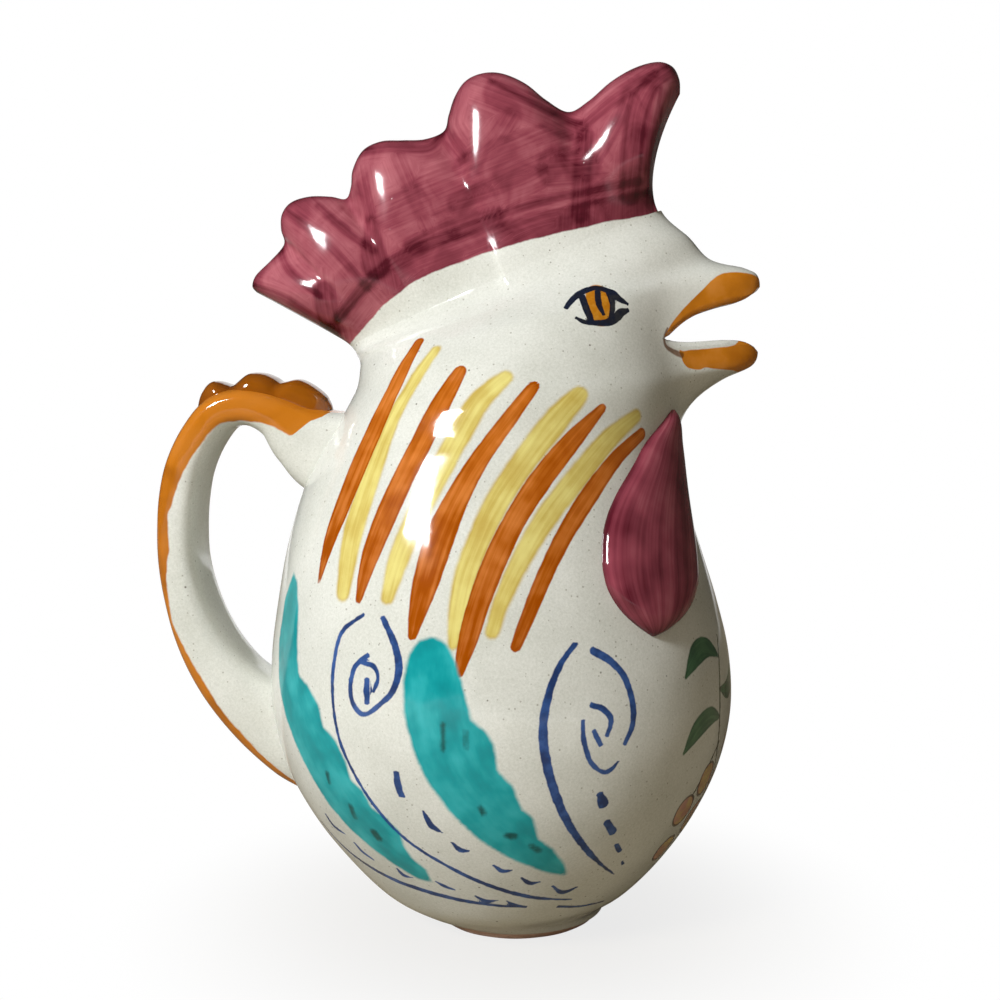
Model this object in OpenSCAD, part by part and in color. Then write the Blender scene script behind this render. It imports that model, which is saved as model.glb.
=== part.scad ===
// Rooster pitcher: a hollow earthenware jug in the shape of a rooster.
// Belly, neck and head are one cast shell, and the open beak is the only mouth.
// Comb, beak tips, wattles, handle and thumb crest are luted on, and the flat foot is bare clay.
// The rooster looks along +X, its left side is +Y, and it stands on Z = 0.

/* [Body] */
// Height of the forehead, where the front of the comb starts
body_h = 233; // [210:1:250]
// Front to back depth of the belly
belly_depth = 152; // [142:1:164]
// Side to side width of the belly
belly_width = 144; // [134:1:154]
// Thickness of the cast wall
wall = 4.5; // [3.5:0.25:5.5]
// Thickness of the floor
floor_t = 6.5; // [5:0.5:8]

/* [Foot] */
// Diameter of the flat foot
foot_d = 53; // [49:1:56]
// Height of the bare foot
foot_h = 2.4; // [1.8:0.2:3.2]

/* [Beak] */
// How far the beak stands out in front of the throat
beak_length = 27; // [23:0.5:31]
// Side to side width of the beak
beak_width = 31; // [28:0.5:34]
// Length of the tips that are luted to the beak
beak_tip_l = 22; // [19:0.5:24]
// Height of the gap between the beak tips
gape = 20; // [16:0.5:22]

/* [Comb] */
// Height of the tallest lobe above the line where the comb starts
comb_h = 65; // [55:1:75]
// Thickness of a lobe of the comb
comb_t = 31; // [26:1:34]
// Thickness of the comb at its root
comb_root_t = 34; // [30:1:38]
// Thickness of the comb's rounded edge
comb_edge_t = 5; // [3:0.5:7]
// How far the comb's front edge curves back
comb_bow = 4.5; // [2:0.5:6]
// Thickness of the comb's wall
comb_wall = 5; // [4.5:0.25:6]

/* [Wattles] */
// How far a wattle stands out of the body
wattle_t = 6; // [5:0.25:8]
// Depth of the scratched bed under a wattle
wattle_bed = 2; // [1.5:0.25:2.5]
// Share of a wattle's drawn width that it keeps
wattle_width_share = 1; // [0.85:0.01:1.1]

/* [Handle] */
// Width of the handle's strap
strap_w = 28; // [24:1:32]
// Thickness of the handle's strap
strap_t = 13.5; // [12:0.5:15]
// Clear distance between the axis and the strap's inner face at the grip
grip_reach = 105; // [102:0.5:110]
// Height that the crest's lobes stand above the middle of the strap
crest_h = 12.5; // [10.5:0.5:14.5]
// Width of the crest
crest_w = 22; // [18:1:26]

/* [Hidden] */
foot_r = foot_d / 2;
base_r = foot_r + foot_h;
// rows: back reach, back height, front reach, front height, half width, beak reach
rise_shares = [
  [-0.245, 0.024, 0.196, 0.024, 0.231, 0.00],
  [-0.310, 0.052, 0.259, 0.052, 0.295, 0.00],
  [-0.382, 0.102, 0.331, 0.102, 0.365, 0.00],
  [-0.452, 0.163, 0.396, 0.163, 0.430, 0.00],
  [-0.506, 0.232, 0.444, 0.232, 0.478, 0.00],
  [-0.534, 0.309, 0.467, 0.309, 0.502, 0.00],
  [-0.534, 0.386, 0.461, 0.386, 0.496, 0.00],
  [-0.521, 0.459, 0.434, 0.459, 0.474, 0.00],
  [-0.500, 0.536, 0.397, 0.536, 0.440, 0.00],
  [-0.467, 0.612, 0.361, 0.614, 0.400, 0.10],
  [-0.426, 0.667, 0.348, 0.674, 0.368, 0.30],
  [-0.396, 0.698, 0.349, 0.709, 0.348, 0.50],
  [-0.375, 0.721, 0.349, 0.744, 0.337, 0.69],
  [-0.359, 0.740, 0.350, 0.766, 0.323, 0.82],
  [-0.347, 0.755, 0.347, 0.783, 0.308, 0.95],
  [-0.342, 0.768, 0.338, 0.809, 0.294, 0.98],
  [-0.340, 0.781, 0.330, 0.847, 0.271, 0.99],
  [-0.338, 0.792, 0.330, 0.883, 0.243, 1.00],
  [-0.340, 0.798, 0.331, 0.900, 0.224, 0.94],
  [-0.351, 0.805, 0.324, 0.921, 0.192, 0.80],
  [-0.351, 0.811, 0.324, 0.961, 0.145, 0.66],
  [-0.355, 0.816, 0.298, 1.000, 0.000, 0.60]];
// points around a ring, and places along the body rows
body_n = 48;
hollow_n = 36;
body_steps = [for (k = [0:0.5:22]) k];
hollow_steps = concat([1.5], [for (k = [2:1:11]) k], [for (k = [11.5:0.5:21.5]) k]);
lower_beak_steps = [for (k = [12:0.5:18]) k];
upper_beak_steps = [for (k = [15:0.5:21]) k];
root_steps = [for (k = [3:0.5:14]) k];
wattle_bed_steps = [for (k = [7:0.5:13]) k];
// how much closer together the points are at the beak, and how sharply beak and head blend
front_crowding = 30;
blend = 6;
throat_share = 0.349;
beak_reach = throat_share * belly_depth + beak_length;
beak_joint = beak_reach - beak_tip_l;
// how much of the beak's tips stays solid
tip_t = beak_tip_l - wall * 2.9;
top = len(rise_shares);
mouth_z = 0.821 * body_h;
// mouth outline: share of the beak's reach, share of the gap above the corner of the mouth
mouth_shares = [[0.609, 0], [0.644, 0.2], [0.704, 0.43], [0.784, 0.62], [0.883, 0.715],
  [0.970, 0.83], [1.15, 0.96], [1.15, -0.175], [0.972, -0.13], [0.925, -0.015]];
// comb columns: place on the root line, ridge along and above that line, fatness
comb_shares = [
  [0.000, -0.210, 0.446, 0.00], [0.012, -0.214, 0.482, 0.40], [0.030, -0.189, 0.524, 0.66],
  [0.060, -0.132, 0.559, 0.78], [0.090, -0.086, 0.592, 0.66], [0.108, -0.067, 0.622, 0.50],
  [0.122, -0.061, 0.683, 0.68], [0.145, -0.040, 0.749, 0.82], [0.170, 0.000, 0.785, 0.88],
  [0.200, 0.058, 0.776, 0.86], [0.225, 0.117, 0.733, 0.70], [0.245, 0.156, 0.693, 0.48],
  [0.262, 0.185, 0.737, 0.70], [0.285, 0.211, 0.810, 0.88], [0.315, 0.262, 0.875, 1.00],
  [0.360, 0.323, 0.879, 1.00], [0.410, 0.385, 0.839, 0.96], [0.460, 0.447, 0.799, 0.82],
  [0.505, 0.509, 0.796, 0.50], [0.530, 0.542, 0.858, 0.74], [0.555, 0.580, 0.926, 0.92],
  [0.590, 0.629, 0.976, 1.00], [0.630, 0.685, 0.977, 1.00], [0.670, 0.739, 0.936, 1.00],
  [0.710, 0.791, 0.845, 0.97], [0.750, 0.829, 0.731, 0.80], [0.785, 0.876, 0.633, 0.48],
  [0.820, 0.943, 0.642, 0.72], [0.855, 1.025, 0.683, 0.92], [0.890, 1.106, 0.697, 1.00],
  [0.925, 1.175, 0.677, 1.00], [0.955, 1.210, 0.625, 0.92], [0.980, 1.214, 0.553, 0.70],
  [1.000, 1.200, 0.490, 0.00]];
comb_levels = [0, 0.12, 0.28, 0.45, 0.62, 0.78, 0.9, 1];
comb_hollow_levels = [0.15, 0.35, 0.6, 0.8, 1];
comb_hollow_share = 0.72;
// wattle rows: place up the body rows, turn from the beak, half turn, bulge
wattle_shares = [
  [0.3555, 0.1258, 0.0022, 0.10], [0.3595, 0.1222, 0.0106, 0.40], [0.3673, 0.1178, 0.0233, 0.66],
  [0.3777, 0.1139, 0.0356, 0.84], [0.3909, 0.1097, 0.0453, 0.96], [0.4023, 0.1069, 0.0492, 1.00],
  [0.4150, 0.1033, 0.0517, 1.00], [0.4364, 0.0950, 0.0533, 1.00], [0.4605, 0.0831, 0.0503, 0.95],
  [0.4932, 0.0681, 0.0403, 0.80], [0.5314, 0.0586, 0.0275, 0.60], [0.5568, 0.0528, 0.0125, 0.40],
  [0.5709, 0.0500, 0.0022, 0.10]];
// strap rows: share of the way from the nape back to the grip, height, half thickness
strap_shares = [
  [-0.177, 0.6438, 1.333], [0.052, 0.6588, 1.259], [0.223, 0.6867, 0.911],
  [0.376, 0.7176, 0.563], [0.547, 0.7309, 0.474], [0.728, 0.7219, 0.467],
  [0.858, 0.6884, 0.474], [0.951, 0.6446, 0.489], [0.995, 0.5987, 0.500],
  [1.009, 0.5536, 0.500], [1.003, 0.5086, 0.504], [0.967, 0.4635, 0.533],
  [0.902, 0.4155, 0.593], [0.801, 0.3691, 0.667], [0.662, 0.3262, 0.763],
  [0.471, 0.2876, 0.933], [0.261, 0.2597, 1.148], [0.090, 0.2446, 1.259]];
nape_share = 0.39;
nape_reach = nape_share * belly_depth;
strap_reach = grip_reach + strap_t / 2;
strap_steps = [for (t = [0:0.5:17]) t];
crest_seat_steps = [for (t = [1:0.5:7]) t];
strap_n = 20;
// crest rows: place along the strap rows, height above the strap's middle
crest_shares = [
  [1.55, 0.80], [1.75, 1.02], [2.05, 1.16], [2.5, 1.2], [2.95, 1.13], [3.2, 0.93], [3.35, 0.84],
  [3.55, 0.88], [3.8, 0.91], [4.05, 0.86], [4.3, 0.66], [4.45, 0.58], [4.6, 0.66], [4.85, 0.84],
  [5.1, 0.75], [5.4, 0.55], [5.7, 0.3]];
crest_n = 16;

body_rows = concat(
  [[-base_r, foot_h, base_r, foot_h, base_r, 0]],
  [for (i = [0:top-1]) let(s = rise_shares[i]) [
    s[0] * belly_depth, s[1] * body_h, s[2] * belly_depth, s[3] * body_h,
    i == top - 1 ? comb_root_t / 2 : s[4] * belly_width, s[5] * beak_reach]]);

// a smooth curve through table rows, t counted in rows
function spline(rows, t) =
  let(i = min(floor(t), len(rows) - 2), f = t - i)
  let(a = rows[max(i - 1, 0)], b = rows[i], c = rows[i + 1], d = rows[min(i + 2, len(rows) - 1)])
  (2 * b + (c - a) * f + (2 * a - 5 * b + 4 * c - d) * f * f
    + (3 * b - a - 3 * c + d) * f * f * f) / 2;

// distance from the middle of an ellipse to its edge
function ellipse(a, b, turn) = 1 / sqrt(pow(cos(turn) / a, 2) + pow(sin(turn) / b, 2));

// one point of the body's skin: row place, turn from the beak, growth, growth of the beak's reach
function skin_point(k, turn, grow, reach_grow) =
  let(r = spline(body_rows, k))
  let(run = r[2] - r[0], rise = r[3] - r[1], a = norm([run, rise]) / 2)
  let(head = ellipse(a + grow, r[4] + grow, turn))
  let(reach = r[5] + reach_grow)
  let(bill = reach > 0 && cos(turn) > 0 ? ellipse(reach, beak_width / 2 + grow, turn) : 0)
  let(d = pow(pow(head, blend) + pow(bill, blend), 1 / blend))
  [(r[0] + r[2]) / 2 + d * cos(turn) * run / (2 * a), d * sin(turn),
    (r[1] + r[3]) / 2 + d * cos(turn) * rise / (2 * a)];

// turn of a ring's point from the beak, points closer together at the beak
function turn(i, n) = 360 * i / n - front_crowding * sin(360 * i / n);

function flat(list) = [for (a = list, b = a) b];
function sides(n, m) = [for (k = [0:m-1], i = [0:n-1]) let(j = (i + 1) % n) each [
  [k * n + i, (k + 1) * n + i, (k + 1) * n + j], [k * n + i, (k + 1) * n + j, k * n + j]]];
function floor_cap(n) = [for (i = [0:n-1]) i];
function roof_cap(n, m) = [for (i = [n-1:-1:0]) m * n + i];

// a solid through rings of points, bottom ring first
module loft(rings) {
  n = len(rings[0]);
  m = len(rings) - 1;
  polyhedron(flat(rings), concat(sides(n, m), [floor_cap(n), roof_cap(n, m)]));
}

function outer_rings(steps, first, last) =
  [for (k = steps) [for (i = [first:last]) skin_point(k, turn(i, body_n), 0, 0)]];
function inner_rings(steps, first, last) =
  [for (k = steps) [for (i = [first:last]) let(p = skin_point(k, turn(i, hollow_n), -wall, -tip_t))
    [p[0], p[1], max(p[2], foot_h + floor_t)]]];

// a slice of the solid body between two points of its rings, closed by a flat chord
module slice(steps, first, last) { loft(outer_rings(steps, first, last)); }

module root_slice() { slice(root_steps, 18, 30); }

// the comb's own directions: along the root line and away from it
root_row = body_rows[top];
root_mid = [(root_row[0] + root_row[2]) / 2, (root_row[1] + root_row[3]) / 2];
root_l = norm([root_row[2] - root_row[0], root_row[3] - root_row[1]]);
root_run = (root_row[2] - root_row[0]) / root_l;
root_rise = (root_row[3] - root_row[1]) / root_l;
function comb_world(u, y, v) =
  [root_mid[0] + u * root_run - v * root_rise, y, root_mid[1] + u * root_rise + v * root_run];

// open the top of the hollow a little way past the joint with the comb
module hollow() {
  past = [-root_rise * wall, 0, root_run * wall];
  rim = inner_rings([top], 0, hollow_n - 1)[0];
  loft(concat(inner_rings(hollow_steps, 0, hollow_n - 1), [[for (p = rim) p + past]]));
}

module mouth() {
  rotate([90, 0, 0])
    linear_extrude(beak_width * 2, center = true)
      polygon([for (s = mouth_shares) [s[0] * beak_reach, mouth_z + s[1] * gape]]);
}

mouth_split = mouth_z + gape / 4;
beak_low = mouth_z - gape * 1.5;
beak_high = mouth_z + gape * 2.5;

// block over the beak, from one distance from the axis to another and between two heights
module beak_block(near, far, low, high) {
  translate([near, -beak_width * 2, low])
    cube([far - near, beak_width * 4, high - low]);
}

module body() {
  color("ivory")
    difference() {
      slice(body_steps, 0, body_n - 1);
      hollow();
      mouth();
      beak_block(beak_joint, beak_reach * 2, beak_low, beak_high);
    }
}

module foot() {
  color("sienna")
    cylinder(h = foot_h, r1 = foot_r, r2 = foot_r + foot_h / 2, $fn = 96);
}

module beak_tip(steps, low, high) {
  color("orange")
    difference() {
      intersection() {
        slice(steps, -12, 12);
        beak_block(beak_joint, beak_reach * 2, low, high);
      }
      intersection() {
        loft(inner_rings(steps, -9, 9));
        beak_block(beak_joint - wall, beak_reach * 2, low - wall, high + wall);
      }
      mouth();
    }
}

module upper_beak() {
  beak_tip(upper_beak_steps, mouth_split, beak_high);
}

module lower_beak() {
  beak_tip(lower_beak_steps, beak_low, mouth_split);
}

function smooth(x) = let(t = min(max(x, 0), 1)) t * t * (3 - 2 * t);
// half thickness of the comb at a column and a height share
function comb_half(c, h) =
  let(root = sqrt(max(0, 1 - pow(2 * c[0] - 1, 2))) * comb_root_t / 2)
  let(edge = min(1, c[3] * 1.6) * comb_edge_t / 2)
  let(full = root + (c[3] * comb_t / 2 - root) * smooth(h / 0.45))
  edge * h + (full - edge * h) * sqrt(1 - h * h * h);
function comb_point(c, h, y) =
  let(u0 = (c[0] - 0.5) * root_l, u1 = (c[1] - 0.5) * root_l)
  comb_world(u0 + (u1 - u0) * h - 4 * h * (1 - h) * comb_bow * smooth(5 * c[0] - 4), y,
    c[2] * comb_h * h);

module comb_solid() {
  n = len(comb_shares);
  m = len(comb_levels) - 1;
  ring_n = 2 * n - 2;
  rings = [for (h = comb_levels) concat(
    [for (c = comb_shares) comb_point(c, h, -comb_half(c, h))],
    [for (i = [n-2:-1:1]) comb_point(comb_shares[i], h, comb_half(comb_shares[i], h))])];
  top_at = m * ring_n;
  ridge = [for (i = [0:n-2]) let(a = top_at + i, b = top_at + i + 1)
    let(c = top_at + (ring_n - i - 1) % ring_n, d = top_at + (ring_n - i) % ring_n)
    each (i == 0 ? [[b, a, c]] : i == n - 2 ? [[b, a, d]] : [[b, a, d], [b, d, c]])];
  polyhedron(flat(rings), concat(sides(ring_n, m), [floor_cap(ring_n)], ridge));
}

module comb_hollow() {
  columns = [for (i = [6:1:len(comb_shares)-5]) comb_shares[i]];
  n = len(columns);
  thin = comb_wall / 4;
  rings = concat(
    [[for (s = [-1, 1], i = [0:n-1]) let(c = columns[s < 0 ? i : n - 1 - i])
      comb_point(c, 0, s * max(comb_half(c, 0) - comb_wall, thin))
        - [-root_rise, 0, root_run] * comb_wall]],
    [for (g = comb_hollow_levels) [for (s = [-1, 1], i = [0:n-1])
      let(c = columns[s < 0 ? i : n - 1 - i], h = g * comb_hollow_share)
      comb_point(c, h, s * max(comb_half(c, h) - comb_wall, thin) * sqrt(1 - g * g * 0.9))]]);
  loft(rings);
}

module comb() {
  color("maroon")
    difference() {
      comb_solid();
      comb_hollow();
    }
}

wattle_rows = [for (t = [0:0.5:len(wattle_shares)-1]) spline(wattle_shares, t)];
arc_steps = 5;

module wattle() {
  rings = [for (w = wattle_rows)
    let(k = w[0] * top, mid = w[1] * 360, half = w[2] * 360 * wattle_width_share)
    concat(
      [for (a = [-arc_steps:arc_steps]) let(f = 90 * a / arc_steps)
        skin_point(k, mid + half * sin(f),
          (wattle_bed + wattle_t * w[3]) * pow(cos(f), 0.7) - wattle_bed, 0)],
      [for (a = [1:-1:-1]) skin_point(k, mid + half * a / 2, -wattle_bed, 0)])];
  difference() {
    loft(rings);
    slice(wattle_bed_steps, 0, 14);
  }
}

module wattle_left() {
  color("maroon") wattle();
}

module wattle_right() {
  color("maroon") mirror([0, 1, 0]) wattle();
}

function strap_row(t) = let(s = spline(strap_shares, t))
  [-nape_reach - s[0] * (strap_reach - nape_reach), s[1] * body_h, s[2] * strap_t];
function strap_heading(t) =
  let(a = strap_row(max(t - 0.1, 0)), b = strap_row(min(t + 0.1, len(strap_shares) - 1)))
  [b[0] - a[0], b[1] - a[1]] / norm([b[0] - a[0], b[1] - a[1]]);
// a point off the strap's middle line: out of the strap, then across it
function strap_point(t, out, across) = let(p = strap_row(t), d = strap_heading(t))
  [p[0] + d[1] * out, across, p[1] - d[0] * out];
function signed_power(x, p) = sign(x) * pow(abs(x), p);

module strap(steps) {
  loft([for (t = steps) [for (i = [0:strap_n-1]) let(a = 360 * i / strap_n)
    strap_point(t, strap_row(t)[2] * signed_power(cos(a), 0.5),
      strap_w / 2 * signed_power(sin(a), 0.5))]]);
}

module handle() {
  color("ivory")
    difference() {
      strap(strap_steps);
      root_slice();
    }
}

module crest() {
  seat = strap_t * 0.15;
  color("orange")
    difference() {
      loft([for (u = [0:0.5:len(crest_shares)-1]) let(s = spline(crest_shares, u))
        let(high = crest_h * s[1], mid = (seat + high) / 2, tall = max(high - seat, seat) / 2)
        [for (i = [0:crest_n-1]) let(a = 360 * i / crest_n)
          strap_point(s[0], mid + tall * cos(a), crest_w / 2 * sin(a))]]);
      strap(crest_seat_steps);
      root_slice();
    }
}

body();
foot();
comb();
upper_beak();
lower_beak();
wattle_right();
wattle_left();
handle();
crest();
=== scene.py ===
# Rooster pitcher in tin-glazed earthenware: its luted pieces, painted by hand under a clear gloss.
# The rooster looks along +X, its left side is +Y, and it stands on Z = 0. Lengths are in metres.

import bmesh
import bpy
import numpy as np
from bpy.props import FloatProperty, FloatVectorProperty, PointerProperty
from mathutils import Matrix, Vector


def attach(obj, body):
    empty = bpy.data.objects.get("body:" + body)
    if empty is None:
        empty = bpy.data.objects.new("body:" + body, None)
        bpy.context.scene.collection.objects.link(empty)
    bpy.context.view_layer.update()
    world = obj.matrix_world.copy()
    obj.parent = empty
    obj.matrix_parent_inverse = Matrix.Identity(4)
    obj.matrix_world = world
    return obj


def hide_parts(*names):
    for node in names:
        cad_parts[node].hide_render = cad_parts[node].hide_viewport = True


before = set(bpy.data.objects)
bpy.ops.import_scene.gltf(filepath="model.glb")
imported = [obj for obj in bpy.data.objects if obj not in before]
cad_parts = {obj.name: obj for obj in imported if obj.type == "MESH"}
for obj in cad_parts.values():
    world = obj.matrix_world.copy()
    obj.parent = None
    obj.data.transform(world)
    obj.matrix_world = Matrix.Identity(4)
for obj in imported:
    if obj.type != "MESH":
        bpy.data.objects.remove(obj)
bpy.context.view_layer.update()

bl_info = {
    "name": "Rooster Pitcher",
    "version": (1, 0, 0),
    "blender": (4, 5, 0),
    "location": "View3D > Sidebar > Rooster Pitcher",
    "description": "Builds the glazed and painted pieces of a rooster pitcher around its fixed frame",
    "category": "Add Mesh",
}

MM = 0.001

# Body rows: back and front of a tilted ring as shares of depth and height, half width, beak reach
RISE_SHARES = [
    (-0.245, 0.024, 0.196, 0.024, 0.231, 0.0), (-0.31, 0.052, 0.259, 0.052, 0.295, 0.0),
    (-0.382, 0.102, 0.331, 0.102, 0.365, 0.0), (-0.452, 0.163, 0.396, 0.163, 0.43, 0.0),
    (-0.506, 0.232, 0.444, 0.232, 0.478, 0.0), (-0.534, 0.309, 0.467, 0.309, 0.502, 0.0),
    (-0.534, 0.386, 0.461, 0.386, 0.496, 0.0), (-0.521, 0.459, 0.434, 0.459, 0.474, 0.0),
    (-0.5, 0.536, 0.397, 0.536, 0.44, 0.0), (-0.467, 0.612, 0.361, 0.614, 0.4, 0.1),
    (-0.426, 0.667, 0.348, 0.674, 0.368, 0.3), (-0.396, 0.698, 0.349, 0.709, 0.348, 0.5),
    (-0.375, 0.721, 0.349, 0.744, 0.337, 0.69), (-0.359, 0.74, 0.35, 0.766, 0.323, 0.82),
    (-0.347, 0.755, 0.347, 0.783, 0.308, 0.95), (-0.342, 0.768, 0.338, 0.809, 0.294, 0.98),
    (-0.34, 0.781, 0.33, 0.847, 0.271, 0.99), (-0.338, 0.792, 0.33, 0.883, 0.243, 1.0),
    (-0.34, 0.798, 0.331, 0.9, 0.224, 0.94), (-0.351, 0.805, 0.324, 0.921, 0.192, 0.8),
    (-0.351, 0.811, 0.324, 0.961, 0.145, 0.67), (-0.355, 0.816, 0.298, 1.0, 0.0, 0.49)]
TOP_ROW = len(RISE_SHARES)
# Throat and nape as shares of the belly's depth, the mouth as a share of the height, and how many walls
# deep the tips of the beak are hollow
THROAT_SHARE = 0.349
NAPE_SHARE = 0.39
MOUTH_SHARE = 0.821
TIP_WALLS = 2.9
# Ridges of the two lips: share of the beak's reach, share of the gape above the corner of the mouth
LOWER_LIP_SHARES = [
    (0.5956, 0.058), (0.597, 0.02), (0.6016, -0.02), (0.622, -0.059), (0.655, -0.074), (0.7, -0.078),
    (0.777, -0.057), (0.859, -0.034), (0.9, -0.04), (0.943, -0.063), (0.974, -0.127), (1.0, -0.18),
    (1.15, -0.24)]
UPPER_LIP_SHARES = [
    (0.5956, 0.058), (0.598, 0.1), (0.6053, 0.14), (0.634, 0.248), (0.67, 0.375), (0.714, 0.487),
    (0.76, 0.568), (0.815, 0.634), (0.877, 0.7), (0.92, 0.735), (0.945, 0.775), (0.97, 0.85), (1.0, 0.9),
    (1.15, 0.96)]
# Comb columns: place on the root line, ridge along and above that line, fatness
COMB_SHARES = [
    (0.0, -0.21, 0.446, 0.0), (0.012, -0.214, 0.482, 0.4), (0.03, -0.189, 0.524, 0.66),
    (0.06, -0.132, 0.559, 0.78), (0.09, -0.086, 0.592, 0.66), (0.108, -0.067, 0.622, 0.5),
    (0.122, -0.061, 0.683, 0.68), (0.145, -0.04, 0.749, 0.82), (0.17, 0.0, 0.785, 0.88),
    (0.2, 0.058, 0.776, 0.86), (0.225, 0.117, 0.733, 0.7), (0.245, 0.156, 0.693, 0.48),
    (0.262, 0.185, 0.737, 0.7), (0.285, 0.211, 0.81, 0.88), (0.315, 0.262, 0.875, 1.0),
    (0.36, 0.323, 0.879, 1.0), (0.41, 0.385, 0.839, 0.96), (0.46, 0.447, 0.799, 0.82),
    (0.505, 0.509, 0.796, 0.5), (0.53, 0.542, 0.858, 0.74), (0.555, 0.58, 0.926, 0.92),
    (0.59, 0.629, 0.976, 1.0), (0.63, 0.685, 0.977, 1.0), (0.67, 0.739, 0.936, 1.0),
    (0.71, 0.791, 0.845, 0.97), (0.75, 0.829, 0.731, 0.8), (0.785, 0.876, 0.633, 0.48),
    (0.82, 0.943, 0.642, 0.72), (0.855, 1.025, 0.683, 0.92), (0.89, 1.106, 0.697, 1.0),
    (0.925, 1.175, 0.677, 1.0), (0.955, 1.21, 0.625, 0.92), (0.98, 1.214, 0.553, 0.7), (1.0, 1.2, 0.49, 0.0)]
# Edge of the strap's ochre on the eye's side: place along the strap rows, share of the half thickness
STRAP_PAINT_LINE = [
    (0.0, 1.3), (1.6, 1.16), (1.68, 0.85), (1.9, 0.63), (2.01, 0.31), (2.13, -0.06), (2.72, -0.24),
    (3.61, -0.65), (4.4, -0.74), (5.34, -0.58), (6.17, -0.44), (7.32, -0.14), (8.11, 0.02), (8.4, 0.18),
    (9.49, 0.15), (10.54, 0.48), (11.53, 0.65), (12.28, 0.52), (13.19, 0.45), (14.18, 0.55), (14.93, 0.61),
    (15.75, 0.74), (17.0, 0.9)]
# Edge of the comb's plum paint: share along the root line, height above it
COMB_PAINT_LINE = [
    (-0.1, 0.0), (0.0, 1.0), (0.034, 2.1), (0.17, 7.8), (0.31, 10.0), (0.53, 8.3), (0.83, 2.8), (0.99, -0.6),
    (1.2, -2.5)]
# Wattle rows: place up the body rows, turn from the beak in degrees, half turn, bulge
WATTLE_ROWS = [
    (7.82, 45.3, 0.8, 0.1), (7.91, 44.0, 3.8, 0.4), (8.08, 42.4, 8.4, 0.66), (8.31, 41.0, 12.8, 0.84),
    (8.6, 39.5, 16.3, 0.96), (8.85, 38.5, 17.7, 1.0), (9.13, 37.2, 18.6, 1.0), (9.6, 34.2, 19.2, 1.0),
    (10.13, 29.9, 18.1, 0.95), (10.85, 24.5, 14.5, 0.8), (11.69, 21.1, 9.9, 0.6), (12.25, 19.0, 4.5, 0.4),
    (12.56, 18.0, 0.8, 0.1)]
# Strap rows: share of the way from the nape back to the grip, height share, half thickness share
STRAP_SHARES = [
    (-0.177, 0.653, 1.14), (0.052, 0.666, 1.08), (0.224, 0.69, 0.83), (0.376, 0.7176, 0.563),
    (0.548, 0.7309, 0.474), (0.728, 0.7219, 0.467), (0.858, 0.6884, 0.474), (0.951, 0.6446, 0.489),
    (0.995, 0.5987, 0.5), (1.009, 0.5536, 0.5), (1.003, 0.5086, 0.504), (0.967, 0.4635, 0.533),
    (0.902, 0.4155, 0.593), (0.801, 0.3691, 0.667), (0.662, 0.3262, 0.763), (0.471, 0.2876, 0.933),
    (0.261, 0.2597, 1.148), (0.09, 0.2446, 1.259)]
# Crest rows: place along the strap rows, height share above the strap's middle
CREST_SHARES = [
    (1.55, 0.8), (1.75, 1.02), (2.05, 1.16), (2.5, 1.2), (2.95, 1.13), (3.2, 0.93), (3.35, 0.84),
    (3.55, 0.88), (3.8, 0.91), (4.05, 0.86), (4.3, 0.66), (4.45, 0.58), (4.6, 0.66), (4.85, 0.84),
    (5.1, 0.75), (5.4, 0.55), (5.7, 0.3)]

# Brushwork on the side of the pitcher, drawn as it shows in the side view. A station of a stroke is its
# share of the belly's depth in front of the axis, its share of the body's height and the half width in mm.
ORANGE_STROKES = [
    [(-0.192, 0.8205, 1.8), (-0.231, 0.77, 2.9), (-0.285, 0.692, 3.9), (-0.332, 0.614, 3.6),
     (-0.362, 0.562, 2.8), (-0.383, 0.508, 0.7)],
    [(-0.099, 0.7814, 2.1), (-0.131, 0.745, 3.4), (-0.17, 0.694, 3.7), (-0.208, 0.644, 3.7),
     (-0.243, 0.593, 3.8), (-0.273, 0.542, 3.0), (-0.291, 0.494, 1.2)],
    [(0.049, 0.7638, 1.8), (0.0, 0.721, 2.4), (-0.055, 0.671, 2.9), (-0.098, 0.621, 3.7),
     (-0.13, 0.573, 4.5), (-0.154, 0.524, 4.1), (-0.169, 0.487, 2.9), (-0.179, 0.456, 1.4)],
    [(0.182, 0.7351, 1.4), (0.124, 0.695, 2.9), (0.064, 0.646, 3.4), (0.017, 0.598, 3.3),
     (-0.02, 0.549, 3.5), (-0.049, 0.501, 3.3), (-0.07, 0.454, 2.9), (-0.086, 0.413, 1.4)],
    [(0.262, 0.6998, 1.9), (0.207, 0.668, 2.4), (0.153, 0.62, 2.9), (0.108, 0.572, 2.6), (0.072, 0.524, 2.4),
     (0.042, 0.478, 2.1), (0.021, 0.445, 1.6)]]
YELLOW_STROKES = [
    [(-0.153, 0.81, 1.8), (-0.198, 0.765, 2.4), (-0.239, 0.716, 3.0), (-0.266, 0.667, 3.6),
     (-0.29, 0.617, 4.0), (-0.312, 0.567, 4.0), (-0.326, 0.5, 2.7)],
    [(-0.008, 0.774, 2.4), (-0.058, 0.744, 3.6), (-0.101, 0.695, 3.7), (-0.14, 0.646, 3.6),
     (-0.179, 0.596, 3.6), (-0.211, 0.546, 3.4), (-0.231, 0.5, 2.2)],
    [(0.138, 0.753, 2.8), (0.092, 0.72, 3.9), (0.033, 0.671, 3.8), (-0.016, 0.622, 3.7),
     (-0.052, 0.573, 3.6), (-0.079, 0.526, 3.4), (-0.092, 0.478, 2.8), (-0.098, 0.448, 1.7)],
    [(0.25, 0.723, 2.3), (0.194, 0.694, 3.2), (0.13, 0.645, 3.5), (0.074, 0.597, 3.4), (0.03, 0.549, 3.0),
     (-0.006, 0.501, 2.5), (-0.024, 0.463, 2.1)]]
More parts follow.
